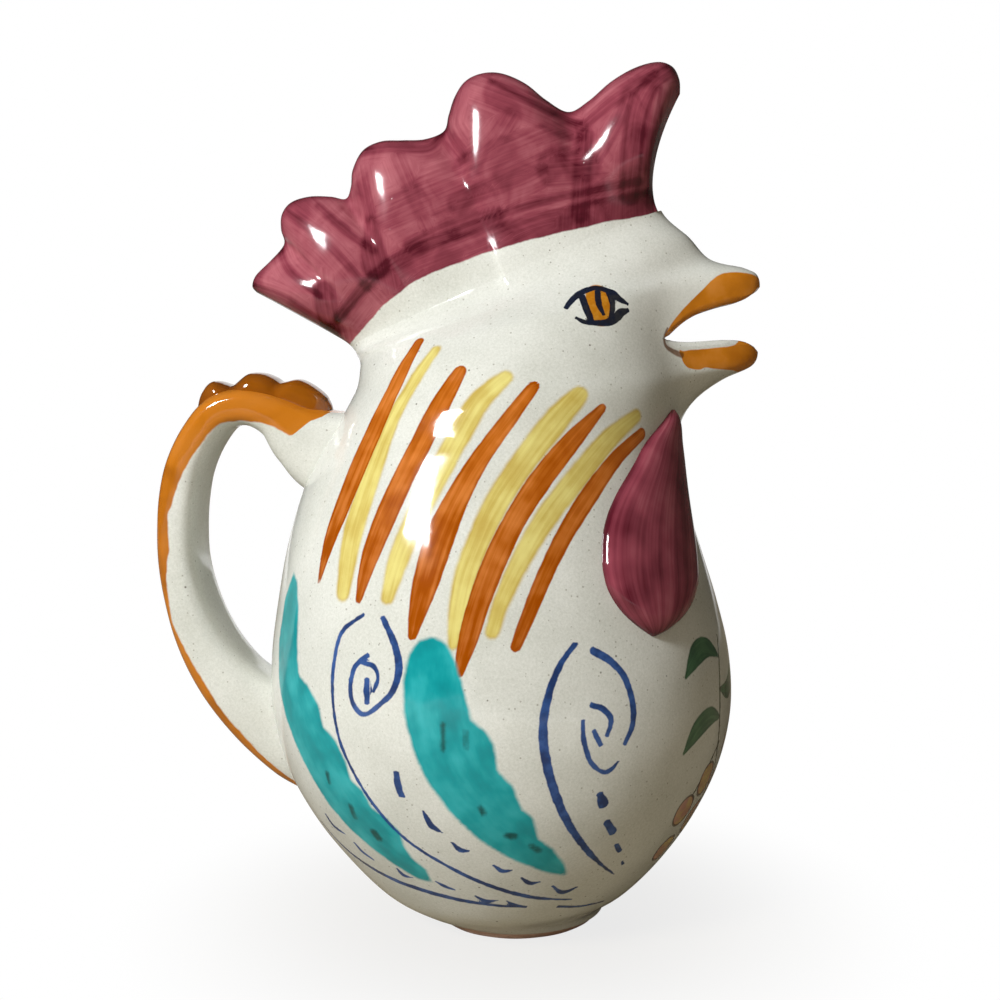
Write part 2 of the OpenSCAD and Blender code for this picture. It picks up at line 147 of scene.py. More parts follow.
BLUE_LINES = [
    [(-0.282, 0.475, 0.55), (-0.324, 0.452, 0.75), (-0.34, 0.415, 0.7), (-0.343, 0.37, 0.6),
     (-0.33, 0.317, 0.6), (-0.297, 0.27, 0.6), (-0.253, 0.227, 0.6), (-0.196, 0.187, 0.6),
     (-0.121, 0.154, 0.7), (-0.043, 0.125, 0.85), (0.043, 0.101, 0.9), (0.125, 0.088, 0.35)],
    [(-0.238, 0.473, 0.9), (-0.215, 0.446, 1.1), (-0.204, 0.418, 1.2), (-0.213, 0.389, 1.0),
     (-0.239, 0.369, 0.75), (-0.274, 0.353, 0.75), (-0.297, 0.363, 0.85), (-0.304, 0.384, 0.8),
     (-0.295, 0.41, 0.8), (-0.27, 0.426, 0.8)],
    [(-0.274, 0.417, 0.7), (-0.255, 0.414, 0.8), (-0.246, 0.401, 0.7), (-0.254, 0.385, 0.6)],
    [(-0.269, 0.394, 0.9), (-0.269, 0.382, 1.15), (-0.268, 0.371, 1.0)],
    [(0.133, 0.445, 0.7), (0.106, 0.422, 0.95), (0.086, 0.391, 1.15), (0.074, 0.352, 1.3),
     (0.078, 0.308, 1.4), (0.094, 0.264, 1.4), (0.12, 0.218, 1.25), (0.162, 0.168, 0.95),
     (0.211, 0.122, 0.25)],
    [(0.171, 0.435, 1.25), (0.198, 0.424, 1.15), (0.226, 0.404, 1.05), (0.243, 0.374, 1.05),
     (0.246, 0.343, 1.0), (0.231, 0.319, 0.7)],
    [(0.168, 0.37, 0.8), (0.188, 0.364, 0.95), (0.203, 0.35, 1.0), (0.196, 0.333, 0.6)],
    [(0.149, 0.35, 0.6), (0.151, 0.325, 0.8), (0.164, 0.299, 0.75), (0.186, 0.284, 0.7), (0.202, 0.286, 0.8),
     (0.216, 0.295, 0.35)],
    [(0.171, 0.336, 0.7), (0.181, 0.322, 0.85)],
    [(-0.399, 0.166, 0.6), (-0.342, 0.135, 0.9), (-0.255, 0.112, 1.1), (-0.158, 0.099, 1.15),
     (-0.067, 0.089, 0.9), (0.033, 0.081, 0.4)],
    [(0.103, 0.076, 0.8), (0.145, 0.069, 0.7), (0.19, 0.066, 0.4)]]
# Wedge-shaped dashes and drops between the leaves
BLUE_MARKS = [
    [(-0.208, 0.28, 1.0), (-0.206, 0.266, 1.2), (-0.2, 0.254, 1.1)],
    [(-0.156, 0.232, 0.4), (-0.143, 0.214, 1.1), (-0.123, 0.205, 0.3)],
    [(-0.102, 0.19, 0.4), (-0.089, 0.18, 1.0), (-0.073, 0.179, 0.3)],
    [(-0.022, 0.156, 0.4), (-0.008, 0.148, 0.9), (0.009, 0.149, 0.3)],
    [(0.031, 0.135, 0.4), (0.045, 0.126, 0.9), (0.062, 0.127, 0.3)],
    [(0.091, 0.117, 0.4), (0.109, 0.104, 1.0), (0.135, 0.11, 0.4)],
    [(-0.062, 0.101, 0.4), (-0.043, 0.093, 0.9), (-0.021, 0.095, 0.3)],
    [(0.0, 0.093, 0.4), (0.013, 0.086, 0.9), (0.035, 0.083, 0.3)],
    [(-0.141, 0.121, 0.4), (-0.125, 0.115, 0.8), (-0.108, 0.111, 0.3)],
    [(-0.222, 0.132, 0.4), (-0.211, 0.123, 0.9), (-0.193, 0.122, 0.3)],
    [(-0.314, 0.158, 0.5), (-0.3, 0.147, 0.9), (-0.278, 0.139, 0.4)],
    [(-0.378, 0.19, 0.5), (-0.363, 0.176, 0.9), (-0.337, 0.17, 0.4)],
    [(0.182, 0.252, 1.2), (0.187, 0.242, 1.7)], [(0.197, 0.21, 1.3), (0.206, 0.198, 1.4)],
    [(0.216, 0.173, 0.8), (0.221, 0.164, 0.9)], [(0.228, 0.141, 0.5), (0.229, 0.138, 0.5)]]
# Outlines of the two feather leaves in the side view, and the line their brush followed
SIDE_LEAF = [
    (-0.137, 0.457), (-0.166, 0.45), (-0.185, 0.432), (-0.194, 0.401), (-0.192, 0.362), (-0.176, 0.319),
    (-0.146, 0.275), (-0.104, 0.235), (-0.048, 0.196), (0.018, 0.165), (0.085, 0.141), (0.118, 0.135),
    (0.112, 0.156), (0.09, 0.181), (0.064, 0.198), (0.053, 0.229), (0.032, 0.241), (0.017, 0.272),
    (-0.012, 0.292), (-0.018, 0.325), (-0.035, 0.344), (-0.06, 0.356), (-0.069, 0.378), (-0.079, 0.398),
    (-0.092, 0.424), (-0.109, 0.447)]
BACK_LEAF = [
    (-0.453, 0.512), (-0.476, 0.472), (-0.487, 0.417), (-0.483, 0.365), (-0.466, 0.327), (-0.441, 0.291),
    (-0.408, 0.253), (-0.367, 0.215), (-0.32, 0.183), (-0.267, 0.157), (-0.217, 0.136), (-0.18, 0.122),
    (-0.15, 0.12), (-0.16, 0.141), (-0.188, 0.158), (-0.201, 0.176), (-0.208, 0.198), (-0.236, 0.216),
    (-0.265, 0.228), (-0.282, 0.25), (-0.307, 0.262), (-0.316, 0.285), (-0.337, 0.312), (-0.365, 0.326),
    (-0.376, 0.353), (-0.403, 0.375), (-0.425, 0.384), (-0.431, 0.424), (-0.432, 0.467), (-0.44, 0.502)]
LEAF_FLOW = [
    [(-0.14, 0.46, 30), (-0.13, 0.35, 30), (-0.06, 0.25, 30), (0.12, 0.13, 30)],
    [(-0.45, 0.52, 30), (-0.44, 0.36, 30), (-0.32, 0.22, 30), (-0.14, 0.12, 30)]]
LEAF_TOUCHES = [
    [(-0.362, 0.262, 1.0), (-0.358, 0.249, 0.7)], [(-0.312, 0.222, 1.0), (-0.305, 0.206, 0.9)],
    [(-0.263, 0.188, 1.6), (-0.256, 0.181, 1.5)], [(-0.047, 0.245, 0.6), (-0.041, 0.236, 1.0)],
    [(0.004, 0.204, 1.0), (0.015, 0.203, 1.4)], [(0.049, 0.188, 0.9), (0.063, 0.18, 1.1)],
    [(-0.115, 0.35, 0.7), (-0.114, 0.318, 0.7)], [(-0.072, 0.342, 0.7), (-0.071, 0.322, 0.6)]]
# The eye: lids and the strokes inside them, then the iris
EYE_LINES = [
    [(0.111, 0.8659, 0.83), (0.122, 0.8751, 1.09), (0.134, 0.8822, 1.22), (0.15, 0.8878, 1.09),
     (0.171, 0.8913, 0.96), (0.191, 0.8886, 1.09), (0.206, 0.8839, 1.28), (0.218, 0.877, 1.15),
     (0.233, 0.8711, 0.51)],
    [(0.133, 0.8503, 0.58), (0.146, 0.8462, 0.83), (0.165, 0.8448, 0.96), (0.187, 0.8446, 1.09),
     (0.202, 0.8477, 1.34), (0.213, 0.853, 1.41), (0.222, 0.8587, 1.28), (0.233, 0.8613, 0.77)],
    [(0.142, 0.8796, 1.09), (0.149, 0.8665, 1.15), (0.155, 0.8567, 1.15), (0.16, 0.8475, 1.15)],
    [(0.174, 0.8855, 0.96), (0.1745, 0.8762, 1.02), (0.178, 0.8663, 0.96), (0.184, 0.858, 0.58)],
    [(0.198, 0.8848, 1.09), (0.203, 0.874, 1.09), (0.204, 0.8643, 0.9), (0.201, 0.853, 0.77)]]
IRIS = [[(0.173, 0.884, 3.6), (0.176, 0.869, 3.8), (0.179, 0.853, 3.3)]]
# Ochre on the lips, in the side view: share of the beak's reach and share of the body's height
UPPER_OCHRE_SHARES = [
    (0.58, 0.8235), (0.6052, 0.8354), (0.6253, 0.8463), (0.6534, 0.8585), (0.6855, 0.8708), (0.7096, 0.879),
    (0.7336, 0.8872), (0.7617, 0.8968), (0.7858, 0.9051), (0.814, 0.912), (0.855, 0.9163), (0.9, 0.9167),
    (0.947, 0.9144), (0.979, 0.91), (1.05, 0.9)]
LOWER_OCHRE_SHARES = [
    (0.655, 0.805), (0.664, 0.8), (0.6675, 0.7951), (0.684, 0.7869), (0.7126, 0.7835), (0.737, 0.7828),
    (0.7614, 0.7855), (0.798, 0.7841), (0.8475, 0.7827), (0.893, 0.78), (0.95, 0.772), (1.05, 0.76)]
LOWER_OCHRE_TOP_SHARES = [
    (0.638, 0.8142), (0.667, 0.8083), (0.6954, 0.8097), (0.7358, 0.8107), (0.7767, 0.8118), (0.817, 0.8133),
    (0.859, 0.815), (0.89, 0.819), (0.92, 0.83), (1.05, 0.84)]
MOUTH_LINE = [
    (0.3185, 0.8375, 0.35), (0.3125, 0.828, 0.4), (0.3145, 0.816, 0.55), (0.329, 0.8085, 0.75),
    (0.347, 0.8035, 1.0)]
# A plain sprig of berries on the breast: place up the body rows, degrees from the beak, half width in mm
SPRIG_STEMS = [
    [(7.5, 17, 0.4), (6.9, 20, 0.5), (6.2, 21, 0.55), (5.5, 19, 0.5), (4.9, 15, 0.4)],
    [(5.6, 19, 0.4), (5.2, 24, 0.45), (4.8, 28, 0.4)]]
SPRIG_LEAVES = [
    [(7.15, 19, 0.5), (7.4, 25, 3.0), (7.35, 31, 3.6), (7.0, 37, 0.5)],
    [(6.6, 21, 0.5), (6.5, 14, 3.2), (6.7, 8, 3.4), (7.05, 3, 0.5)],
    [(6.1, 21, 0.5), (6.2, 27, 3.2), (6.05, 33, 3.4), (5.7, 38, 0.5)]]
SPRIG_BERRIES = [
    [(4.75, 12, 5.4), (4.7, 12, 5.4)], [(5.0, 22, 5.2), (4.95, 22, 5.2)], [(4.15, 19, 5.8), (4.1, 19, 5.8)],
    [(4.5, 30, 5.0), (4.45, 30, 5.0)], [(3.6, 29, 4.6), (3.55, 29, 4.6)], [(5.5, 10, 3.8), (5.45, 10, 3.8)]]
# Brushwork on the comb in the side view, with the colour that each stroke adds
COMB_STROKES = [
    ([(-0.377, 0.854, 1.4), (-0.267, 0.928, 1.6), (-0.113, 0.97, 1.4), (0.04, 1.007, 1.4),
      (0.26, 1.037, 1.2)],
     0.34),
    ([(-0.223, 0.953, 1.6), (-0.135, 0.978, 1.8), (-0.036, 0.999, 1.4)], 0.22),
    ([(-0.267, 0.996, 5), (-0.113, 1.037, 8), (0.019, 1.072, 8), (0.106, 1.097, 6)], 0.12),
    ([(-0.036, 1.157, 5), (0.062, 1.13, 5), (0.128, 1.11, 4)], 0.16),
    ([(-0.113, 1.01, 4), (0.019, 1.037, 5), (0.084, 1.061, 4)], 0.12),
    ([(0.089, 1.055, 6.5), (0.139, 1.058, 6)], 0.15),
    ([(0.146, 1.102, 2.6), (0.141, 1.051, 3), (0.137, 0.992, 2.6)], 0.22),
    ([(0.321, 1.19, 2.4), (0.282, 1.168, 3), (0.256, 1.134, 3.4), (0.245, 1.086, 3.4), (0.238, 1.019, 3)],
     0.28),
    ([(-0.054, 1.177, 0.7), (0.04, 1.144, 1), (0.133, 1.119, 0.8)], 0.34),
    ([(0.146, 1.119, 1.6), (0.205, 1.148, 2.5), (0.286, 1.182, 2)], 0.2),
    ([(0.172, 1.069, 1.8), (0.212, 1.113, 2.2), (0.234, 1.155, 1.8)], 0.16),
    ([(0.297, 1.155, 2.6), (0.282, 1.099, 3), (0.275, 1.03, 2.6)], 0.14),
    ([(-0.293, 0.926, 4.5), (-0.3, 0.948, 3.6), (-0.306, 0.986, 1.8)], 0.26),
    ([(-0.421, 1.01, 0.9), (-0.366, 0.978, 1.2), (-0.298, 0.945, 1.2)], 0.28),
    ([(-0.522, 0.972, 0.9), (-0.486, 0.923, 1.2), (-0.41, 0.884, 1.0)], 0.26),
    ([(-0.486, 1.0, 1.0), (-0.399, 0.957, 1.4), (-0.311, 0.895, 1.2)], 0.22),
    ([(-0.403, 0.89, 3.4), (-0.396, 0.84, 3.6)], 0.3),
    ([(-0.57, 0.899, 1.2), (-0.486, 0.879, 1.4), (-0.388, 0.834, 1.4)], 0.25),
    ([(-0.355, 1.083, 1.2), (-0.267, 1.087, 1.5), (-0.183, 1.088, 1.4), (-0.153, 1.127, 1.2)], 0.2),
    ([(-0.328, 1.047, 2.2), (-0.311, 0.996, 2.6)], 0.12),
    ([(-0.249, 1.072, 2.2), (-0.212, 1.017, 2.4), (-0.179, 0.972, 2.0)], 0.14),
    ([(-0.142, 1.161, 2), (-0.153, 1.113, 2.2), (-0.113, 1.072, 2)], 0.14),
    ([(-0.003, 1.127, 3), (-0.047, 1.086, 3.5), (-0.113, 1.058, 3)], 0.1)]
# How fine the meshes are
HALF_COLUMNS = 96
LOWER_RINGS = 106
UPPER_RINGS = 46
INNER_LOW_RINGS = 36
INNER_HIGH_RINGS = 16
LIP_RINGS = 9
# The inner skin starts and ends this many body rows inside the outer one; the lips are this wide and round
INNER_START = 1.6
INNER_END = 0.6
LIP_WIDTH = 3.4 * MM
LIP_ROUND = 1.5 * MM
# The unevenness of handwork, and how far all is drawn in so that it stays in the frame's box
SWELL = 0.12 * MM
DRAWN_IN = (0.997, 0.9955, 1)
# The luted joint of the comb: step along it, softness of the blend, its reach, and where comb and head meet
MELT_STEP = 0.4
MELT_BLUR = 2.8
MELT_REACH = 11 * MM
MELT_MEET = 16 * MM
# How far a wattle is sunk into the throat
WATTLE_SUNK = 1.6 * MM
# Passes that split faces at painted edges: half width of the band there, and around the eye, in mm
REFINE_PASSES = ((1.5, 13.0), (0.7, 11.5), (0.0, 10.5))
# Fixed glaze colours, thin and pooled
LEAF_TOUCH = ("#0C4A45", "#072F2C")
SPRIG_GREEN = ("#3E7A4A", "#1F5634")
STEM_GREEN = ("#3C4426", "#23291A")
BERRY = ("#DDC06E", "#C98A76")
BERRY_RIM = ("#5A4630", "#3A2C1E")
IRIS_AMBER = ("#C98A20", "#B26A12")
LIP_OCHRE = ("#E08C22", "#B4680E")
MOUTH_BROWN = ("#7A4A1C", "#5E3410")
# Single colours: pooled ink and plum, thin ochre, the dips of the crest, scuffed clay, and the stage
INK_POOLED = "#1B2236"
PLUM_POOLED = "#380A14"
OCHRE_THIN = "#CB7E30"
CREST_DIP = "#6E3604"
CLAY_PALE = "#C29C8A"
ROOM_LIGHT = "#F7F1E2"
TABLE_GREY = "#998E78"
CARD_GREY = "#5A5751"
# Specks of iron: cell size in mm, share of cells without one, greatest size, strength, colour
SPECKS = ((1.6, 0.5, 0.22, 0.5, "#7C745F"), (4.0, 0.35, 0.1, 0.85, "#4F4636"))


def linear(code):
    """An sRGB hex colour as linear red, green and blue."""
    parts = np.array([int(code[i:i + 2], 16) for i in (1, 3, 5)]) / 255
    return tuple(np.where(parts <= 0.04045, parts / 12.92, ((parts + 0.055) / 1.055) ** 2.4))


class RoosterSizes(bpy.types.PropertyGroup):
    """Real sizes of the pitcher, the same as the frame's"""
    body_height: FloatProperty(
        name="Forehead Height", description="Height where the comb starts", default=0.233, unit="LENGTH")
    belly_depth: FloatProperty(
        name="Belly Depth", description="Front to back depth of the belly", default=0.152, unit="LENGTH")
    belly_width: FloatProperty(
        name="Belly Width", description="Side to side width of the belly", default=0.144, unit="LENGTH")
    wall: FloatProperty(name="Wall", description="Thickness of the cast wall", default=0.0045, unit="LENGTH")
    floor: FloatProperty(name="Floor", description="Thickness of the floor", default=0.0065, unit="LENGTH")
    foot_width: FloatProperty(
        name="Foot Diameter", description="Diameter of the bare foot", default=0.053, unit="LENGTH")
    foot_height: FloatProperty(
        name="Foot Height", description="Height of the bare foot", default=0.0024, unit="LENGTH")
    beak_length: FloatProperty(
        name="Beak Length", description="How far the beak stands out in front of the throat", default=0.027,
        unit="LENGTH")
    beak_width: FloatProperty(
        name="Beak Width", description="Side to side width of the beak", default=0.031, unit="LENGTH")
    beak_tip: FloatProperty(
        name="Beak Tips", description="Length of the luted tips of the beak", default=0.022, unit="LENGTH")
    gape: FloatProperty(
        name="Gape", description="Height of the gap between the beak tips", default=0.020, unit="LENGTH")
    comb_height: FloatProperty(
        name="Comb Height", description="Height of the tallest lobe above the root line", default=0.065,
        unit="LENGTH")
    comb_thickness: FloatProperty(
        name="Comb Thickness", description="Thickness of a lobe", default=0.031, unit="LENGTH")
    comb_root: FloatProperty(
        name="Comb Root", description="Thickness of the comb at its root", default=0.034, unit="LENGTH")
    comb_bow: FloatProperty(
        name="Comb Bow", description="How far the comb's front edge curves back", default=0.0045,
        unit="LENGTH")
    wattle_bulge: FloatProperty(
        name="Wattle Bulge", description="How far a wattle stands out of the body", default=0.006,
        unit="LENGTH")
    strap_width: FloatProperty(
        name="Strap Width", description="Width of the handle's strap", default=0.028, unit="LENGTH")
    strap_thickness: FloatProperty(
        name="Strap Thickness", description="Thickness of the handle's strap", default=0.0135, unit="LENGTH")
    grip_reach: FloatProperty(
        name="Grip Reach", description="Distance from the axis to the strap's inner face", default=0.105,
        unit="LENGTH")
    crest_height: FloatProperty(
        name="Crest Height", description="Height of the crest's lobes above the strap's middle",
        default=0.0125, unit="LENGTH")
    crest_width: FloatProperty(
        name="Crest Width", description="Width of the crest", default=0.022, unit="LENGTH")


class RoosterColours(bpy.types.PropertyGroup):
    """Colours of the glaze and of the painted decoration"""
    cream: FloatVectorProperty(
        name="Cream Glaze", description="Tin glaze over the whole body", default=linear("#E8E8E2"),
        subtype="COLOR")
    cream_shade: FloatVectorProperty(
        name="Cream Mottle", description="Greyer mottling in the glaze", default=linear("#C4C5BB"),
        subtype="COLOR")
    plum: FloatVectorProperty(
        name="Plum", description="Manganese red of the comb and wattles", default=linear("#8F414F"),
        subtype="COLOR")
    plum_deep: FloatVectorProperty(
        name="Deep Plum", description="Plum where the brush left more colour", default=linear("#581826"),
        subtype="COLOR")
    plum_pale: FloatVectorProperty(
        name="Pale Plum", description="Plum where it was brushed thin", default=linear("#B76973"),
        subtype="COLOR")
    orange: FloatVectorProperty(
        name="Orange", description="Iron orange feather strokes", default=linear("#DE812C"), subtype="COLOR")
    orange_deep: FloatVectorProperty(
        name="Deep Orange", description="Orange where it pooled", default=linear("#A04A02"), subtype="COLOR")
    yellow: FloatVectorProperty(
        name="Yellow", description="Straw yellow feather strokes", default=linear("#E6D873"),
        subtype="COLOR")
    yellow_deep: FloatVectorProperty(
        name="Deep Yellow", description="Yellow where it pooled", default=linear("#C4A530"), subtype="COLOR")
    teal: FloatVectorProperty(
        name="Teal", description="Copper green feather leaves", default=linear("#1FB6BC"), subtype="COLOR")
    teal_deep: FloatVectorProperty(
        name="Deep Teal", description="Teal where it pooled", default=linear("#0E8288"), subtype="COLOR")
    blue: FloatVectorProperty(
        name="Blue", description="Cobalt scrolls and dashes", default=linear("#1F4F96"), subtype="COLOR")
    blue_deep: FloatVectorProperty(
        name="Deep Blue", description="Cobalt where it pooled", default=linear("#122E63"), subtype="COLOR")
    ink: FloatVectorProperty(
        name="Ink", description="Nearly black lines of the eye", default=linear("#15141C"), subtype="COLOR")
    ochre: FloatVectorProperty(
        name="Ochre", description="Amber glaze on lips, crest and strap edge", default=linear("#C4741A"),
        subtype="COLOR")
    ochre_deep: FloatVectorProperty(
        name="Deep Ochre", description="Amber glaze where it pooled", default=linear("#8F4D08"),
        subtype="COLOR")
    clay: FloatVectorProperty(
        name="Clay", description="Bare fired earthenware of the foot", default=linear("#D4B0A0"),
        subtype="COLOR")


def smooth_rows(rows, places):
    """A smooth curve through table rows. Places are counted in rows."""
    rows = np.asarray(rows, float)
    places = np.asarray(places, float)
    i = np.clip(np.floor(places).astype(int), 0, len(rows) - 2)
    f = (places - i)[..., None]
    a, b = rows[np.maximum(i - 1, 0)], rows[i]
    c, d = rows[i + 1], rows[np.minimum(i + 2, len(rows) - 1)]
    return (
        2 * b + (c - a) * f + (2 * a - 5 * b + 4 * c - d) * f ** 2 + (3 * b - a - 3 * c + d) * f ** 3) / 2


def fine_rows(rows, count):
    """The smooth curve through table rows at evenly spaced places, from the first row to the last."""
    return smooth_rows(rows, np.linspace(0, len(rows) - 1, count))


def run_along(line):
    """For each point of a line, its length up to there."""
    return np.concatenate([[0], np.cumsum(np.linalg.norm(np.diff(line, axis=0), axis=1))])


def mirrored(values):
    """A half grid from beak to nape, and its columns in between once more on the way back."""
    return np.concatenate([values, values[:, -2:0:-1]], 1)


def ease(x):
    """A smooth step from 0 to 1."""
    t = np.clip(x, 0, 1)
    return t * t * (3 - 2 * t)


def ellipse(a, b, turn):
    """Distance from the middle of an ellipse to its edge."""
    return 1 / np.sqrt((np.cos(turn) / a) ** 2 + (np.sin(turn) / b) ** 2)


def hand_made(points):
    """The small unevenness of pressing, luting and sponging: a soft field, the same for every piece."""
    waves = ((31, 17, 23), (-19, 41, 13), (47, -11, -37), (13, 29, 59))
    moved = points.copy()
    for n, wave in enumerate(waves):
        phase = points @ np.array(wave, float) * 1.9 + n * 1.7
        shift = np.stack([np.sin(phase), np.sin(phase + 2.1), np.sin(phase + 4.2)], -1)
        moved += SWELL / (1 + 0.5 * n) * shift * [1, 1, 0.5]
    return moved * DRAWN_IN


class Form:
    """The pitcher's skin as a formula, in the sizes of the property group."""

    def __init__(self, sizes):
        self.sizes = sizes
        self.reach = THROAT_SHARE * sizes.belly_depth + sizes.beak_length
        self.base = sizes.foot_width / 2 + sizes.foot_height
        self.solid_tip = sizes.beak_tip - TIP_WALLS * sizes.wall
        self.mouth_height = MOUTH_SHARE * sizes.body_height
        first = [-self.base, sizes.foot_height, self.base, sizes.foot_height, self.base, 0]
        scale = [
            sizes.belly_depth, sizes.body_height, sizes.belly_depth, sizes.body_height, sizes.belly_width,
            self.reach]
        self.rows = np.array([first] + [[v * s for v, s in zip(row, scale)] for row in RISE_SHARES])
        self.rows[-1, 4] = sizes.comb_root / 2
        back, front = self.rows[-1, :2], self.rows[-1, 2:4]
        self.root_middle = (back + front) / 2
        self.root_length = float(np.linalg.norm(front - back))
        self.root_run, self.root_rise = (front - back) / self.root_length
        self.nape = NAPE_SHARE * sizes.belly_depth
        self.strap_reach = sizes.grip_reach + sizes.strap_thickness / 2
        grid = self.skin(np.linspace(0.4, TOP_ROW, 520)[:, None], np.radians(np.linspace(1, 179, 240))[None])
        across = np.cross(np.gradient(grid, axis=1), np.gradient(grid, axis=0))
        across /= np.linalg.norm(across, axis=2, keepdims=True) * np.sign(across[..., 1:2])
        self.chart = grid.reshape(-1, 3), across.reshape(-1, 3)

    def skin(self, place, turn, grow=0.0, reach_grow=0.0):
        """Points of the skin at places up the rows and turns from the beak."""
        place, turn = np.broadcast_arrays(np.asarray(place, float), np.asarray(turn, float))
        r = smooth_rows(self.rows, place)
        run, rise = r[..., 2] - r[..., 0], r[..., 3] - r[..., 1]
        half = np.hypot(run, rise) / 2
        head = ellipse(half + grow, r[..., 4] + grow, turn)
        reach = r[..., 5] + reach_grow
        bill = ellipse(np.maximum(reach, 1e-6), self.sizes.beak_width / 2 + grow, turn)
        bill = np.where((reach > 0) & (np.cos(turn) > 0), bill, 0)
        out = (head ** 6 + bill ** 6) ** (1 / 6)
        x = (r[..., 0] + r[..., 2]) / 2 + out * np.cos(turn) * run / (2 * half)
        z = (r[..., 1] + r[..., 3]) / 2 + out * np.cos(turn) * rise / (2 * half)
        return np.stack([x, out * np.sin(turn), z], -1)

    def side_points(self, x, z):
        """Points of the skin's +Y half at distances in front of the axis and heights."""
        points, across = self.chart
        found = []
        for px, pz in zip(x, z):
            n = ((points[:, 0] - px) ** 2 + (points[:, 2] - pz) ** 2).argmin()
            rise = across[n, 0] * (px - points[n, 0]) + across[n, 2] * (pz - points[n, 2])
            slope = rise / max(across[n, 1], 0.25)
            found.append((px, points[n, 1] - slope, pz))
        return np.array(found)

    def even_turns(self, places, half_columns):
        """For each ring, the turns that split half of it into steps, closer together towards the beak."""
        dense = np.linspace(0, np.pi, 900)
        points = self.skin(np.asarray(places)[:, None], dense[None, :])
        weight = 1 + 1.2 * np.exp(-(dense[1:] / np.radians(35)) ** 2)
        steps = np.linalg.norm(np.diff(points, axis=1), axis=2) * weight
        length = np.concatenate([np.zeros((len(places), 1)), np.cumsum(steps, 1)], 1)
        wanted = np.linspace(0, 1, half_columns + 1)
        return np.array([np.interp(wanted, row / row[-1], dense) for row in length])

    def lip(self, shares, x):
        """Height of a lip line at a distance in front of the axis."""
        line = fine_rows(shares, 200)
        return np.interp(x, line[:, 0] * self.reach, self.mouth_height + line[:, 1] * self.sizes.gape)

    def comb_point(self, column, height, side):
        """Points of the comb: columns, height shares and distances from the middle plane."""
        start = (column[..., 0] - 0.5) * self.root_length
        end = (column[..., 1] - 0.5) * self.root_length
        bow = 4 * height * (1 - height) * self.sizes.comb_bow * ease(5 * column[..., 0] - 4)
        along = start + (end - start) * height - bow
        out = column[..., 2] * self.sizes.comb_height * height
        return np.stack(
            [self.root_middle[0] + along * self.root_run - out * self.root_rise, side,
             self.root_middle[1] + along * self.root_rise + out * self.root_run],
            -1)

    def strap_rows(self, places):
        """Distance behind the axis, height and half thickness of the strap."""
        rows = smooth_rows(STRAP_SHARES, places)
        x = -self.nape - rows[..., 0] * (self.strap_reach - self.nape)
        return np.stack(
            [x, rows[..., 1] * self.sizes.body_height, rows[..., 2] * self.sizes.strap_thickness], -1)

    def strap_point(self, places, out, across):
        """Points off the strap's middle line: out of the strap and across it."""
        here = self.strap_rows(places)
        end = len(STRAP_SHARES) - 1
        ahead = self.strap_rows(np.minimum(places + 0.1, end))
        heading = ahead - self.strap_rows(np.maximum(places - 0.1, 0))
        heading = heading[..., :2] / np.linalg.norm(heading[..., :2], axis=-1, keepdims=True)
        return np.stack(
            [here[..., 0] + heading[..., 1] * out, across + 0 * out, here[..., 1] - heading[..., 0] * out],
            -1)


def grid_faces(index, closed):
    """Quads through a grid of vertex numbers, joined round where closed."""
    after = np.roll(index, -1, axis=1)
    quads = np.stack([index[:-1], after[:-1], after[1:], index[1:]], -1)
    if not closed:
        quads = quads[:, :-1]
    return quads.reshape(-1, 4).tolist()


class Sheets:
    """Grids of points that are sewn into one mesh, each point with named numbers."""

    def __init__(self):
        self.points, self.faces, self.numbers, self.count = [], [], {}, 0

    def grid(self, points, closed=False, caps=(False, False), **numbers):
        """Sews in one grid, joined round where closed and capped at the ends where asked."""
        flat = points.reshape(-1, 3)
        index = np.arange(len(flat)).reshape(points.shape[:2]) + self.count
        self.faces += grid_faces(index, closed)
        numbers["cap"] = 0.0
        self.keep(
            flat, {name: np.broadcast_to(v, points.shape[:2]).reshape(-1) for name, v in numbers.items()})
        for ring, wanted in ((0, caps[0]), (-1, caps[1])):
            if wanted:
                centre = self.count
                middle = {
                    name: np.array([np.broadcast_to(v, points.shape[:2])[ring].mean()])
                    for name, v in numbers.items()}
                middle["cap"] = np.array([1.0])
                self.keep(points[ring].mean(0)[None], middle)
                loop = index[ring]
                self.faces += [[a, b, centre] for a, b in zip(loop, np.roll(loop, -1))]

    def keep(self, flat, numbers):
        """Keeps more points and their named numbers."""
        self.points.append(flat)
        for name, values in numbers.items():
            self.numbers.setdefault(name, []).append(values)
        self.count += len(flat)

    def mesh(self, name):
        """The sewn mesh with its faces outwards and the numbers as attributes."""
        mesh = bpy.data.meshes.new(name)
        mesh.from_pydata(np.concatenate(self.points), [], self.faces)
        for key, parts in self.numbers.items():
            attribute = mesh.attributes.new(key, "FLOAT", "POINT")
            attribute.data.foreach_set("value", np.concatenate(parts).astype(np.float32))
        work = bmesh.new()
        work.from_mesh(mesh)
        bmesh.ops.remove_doubles(work, verts=work.verts, dist=0.002 * MM)
        bmesh.ops.recalc_face_normals(work, faces=work.faces)
        open_edges = [edge for edge in work.edges if not edge.is_manifold]
        if open_edges:
            raise RuntimeError(
                f"{name} isn't closed: {len(open_edges)} open edges, near {open_edges[0].verts[0].co}")
        work.to_mesh(mesh)
        work.free()
        return mesh


def positions(mesh):
    """The places of a mesh's vertices as rows."""
    co = np.empty(len(mesh.vertices) * 3, np.float32)
    mesh.vertices.foreach_get("co", co)
    return co.reshape(-1, 3).astype(float)


def move_to(mesh, points):
    """Gives a mesh's vertices new places."""
    mesh.vertices.foreach_set("co", points.astype(np.float32).ravel())
    mesh.update()


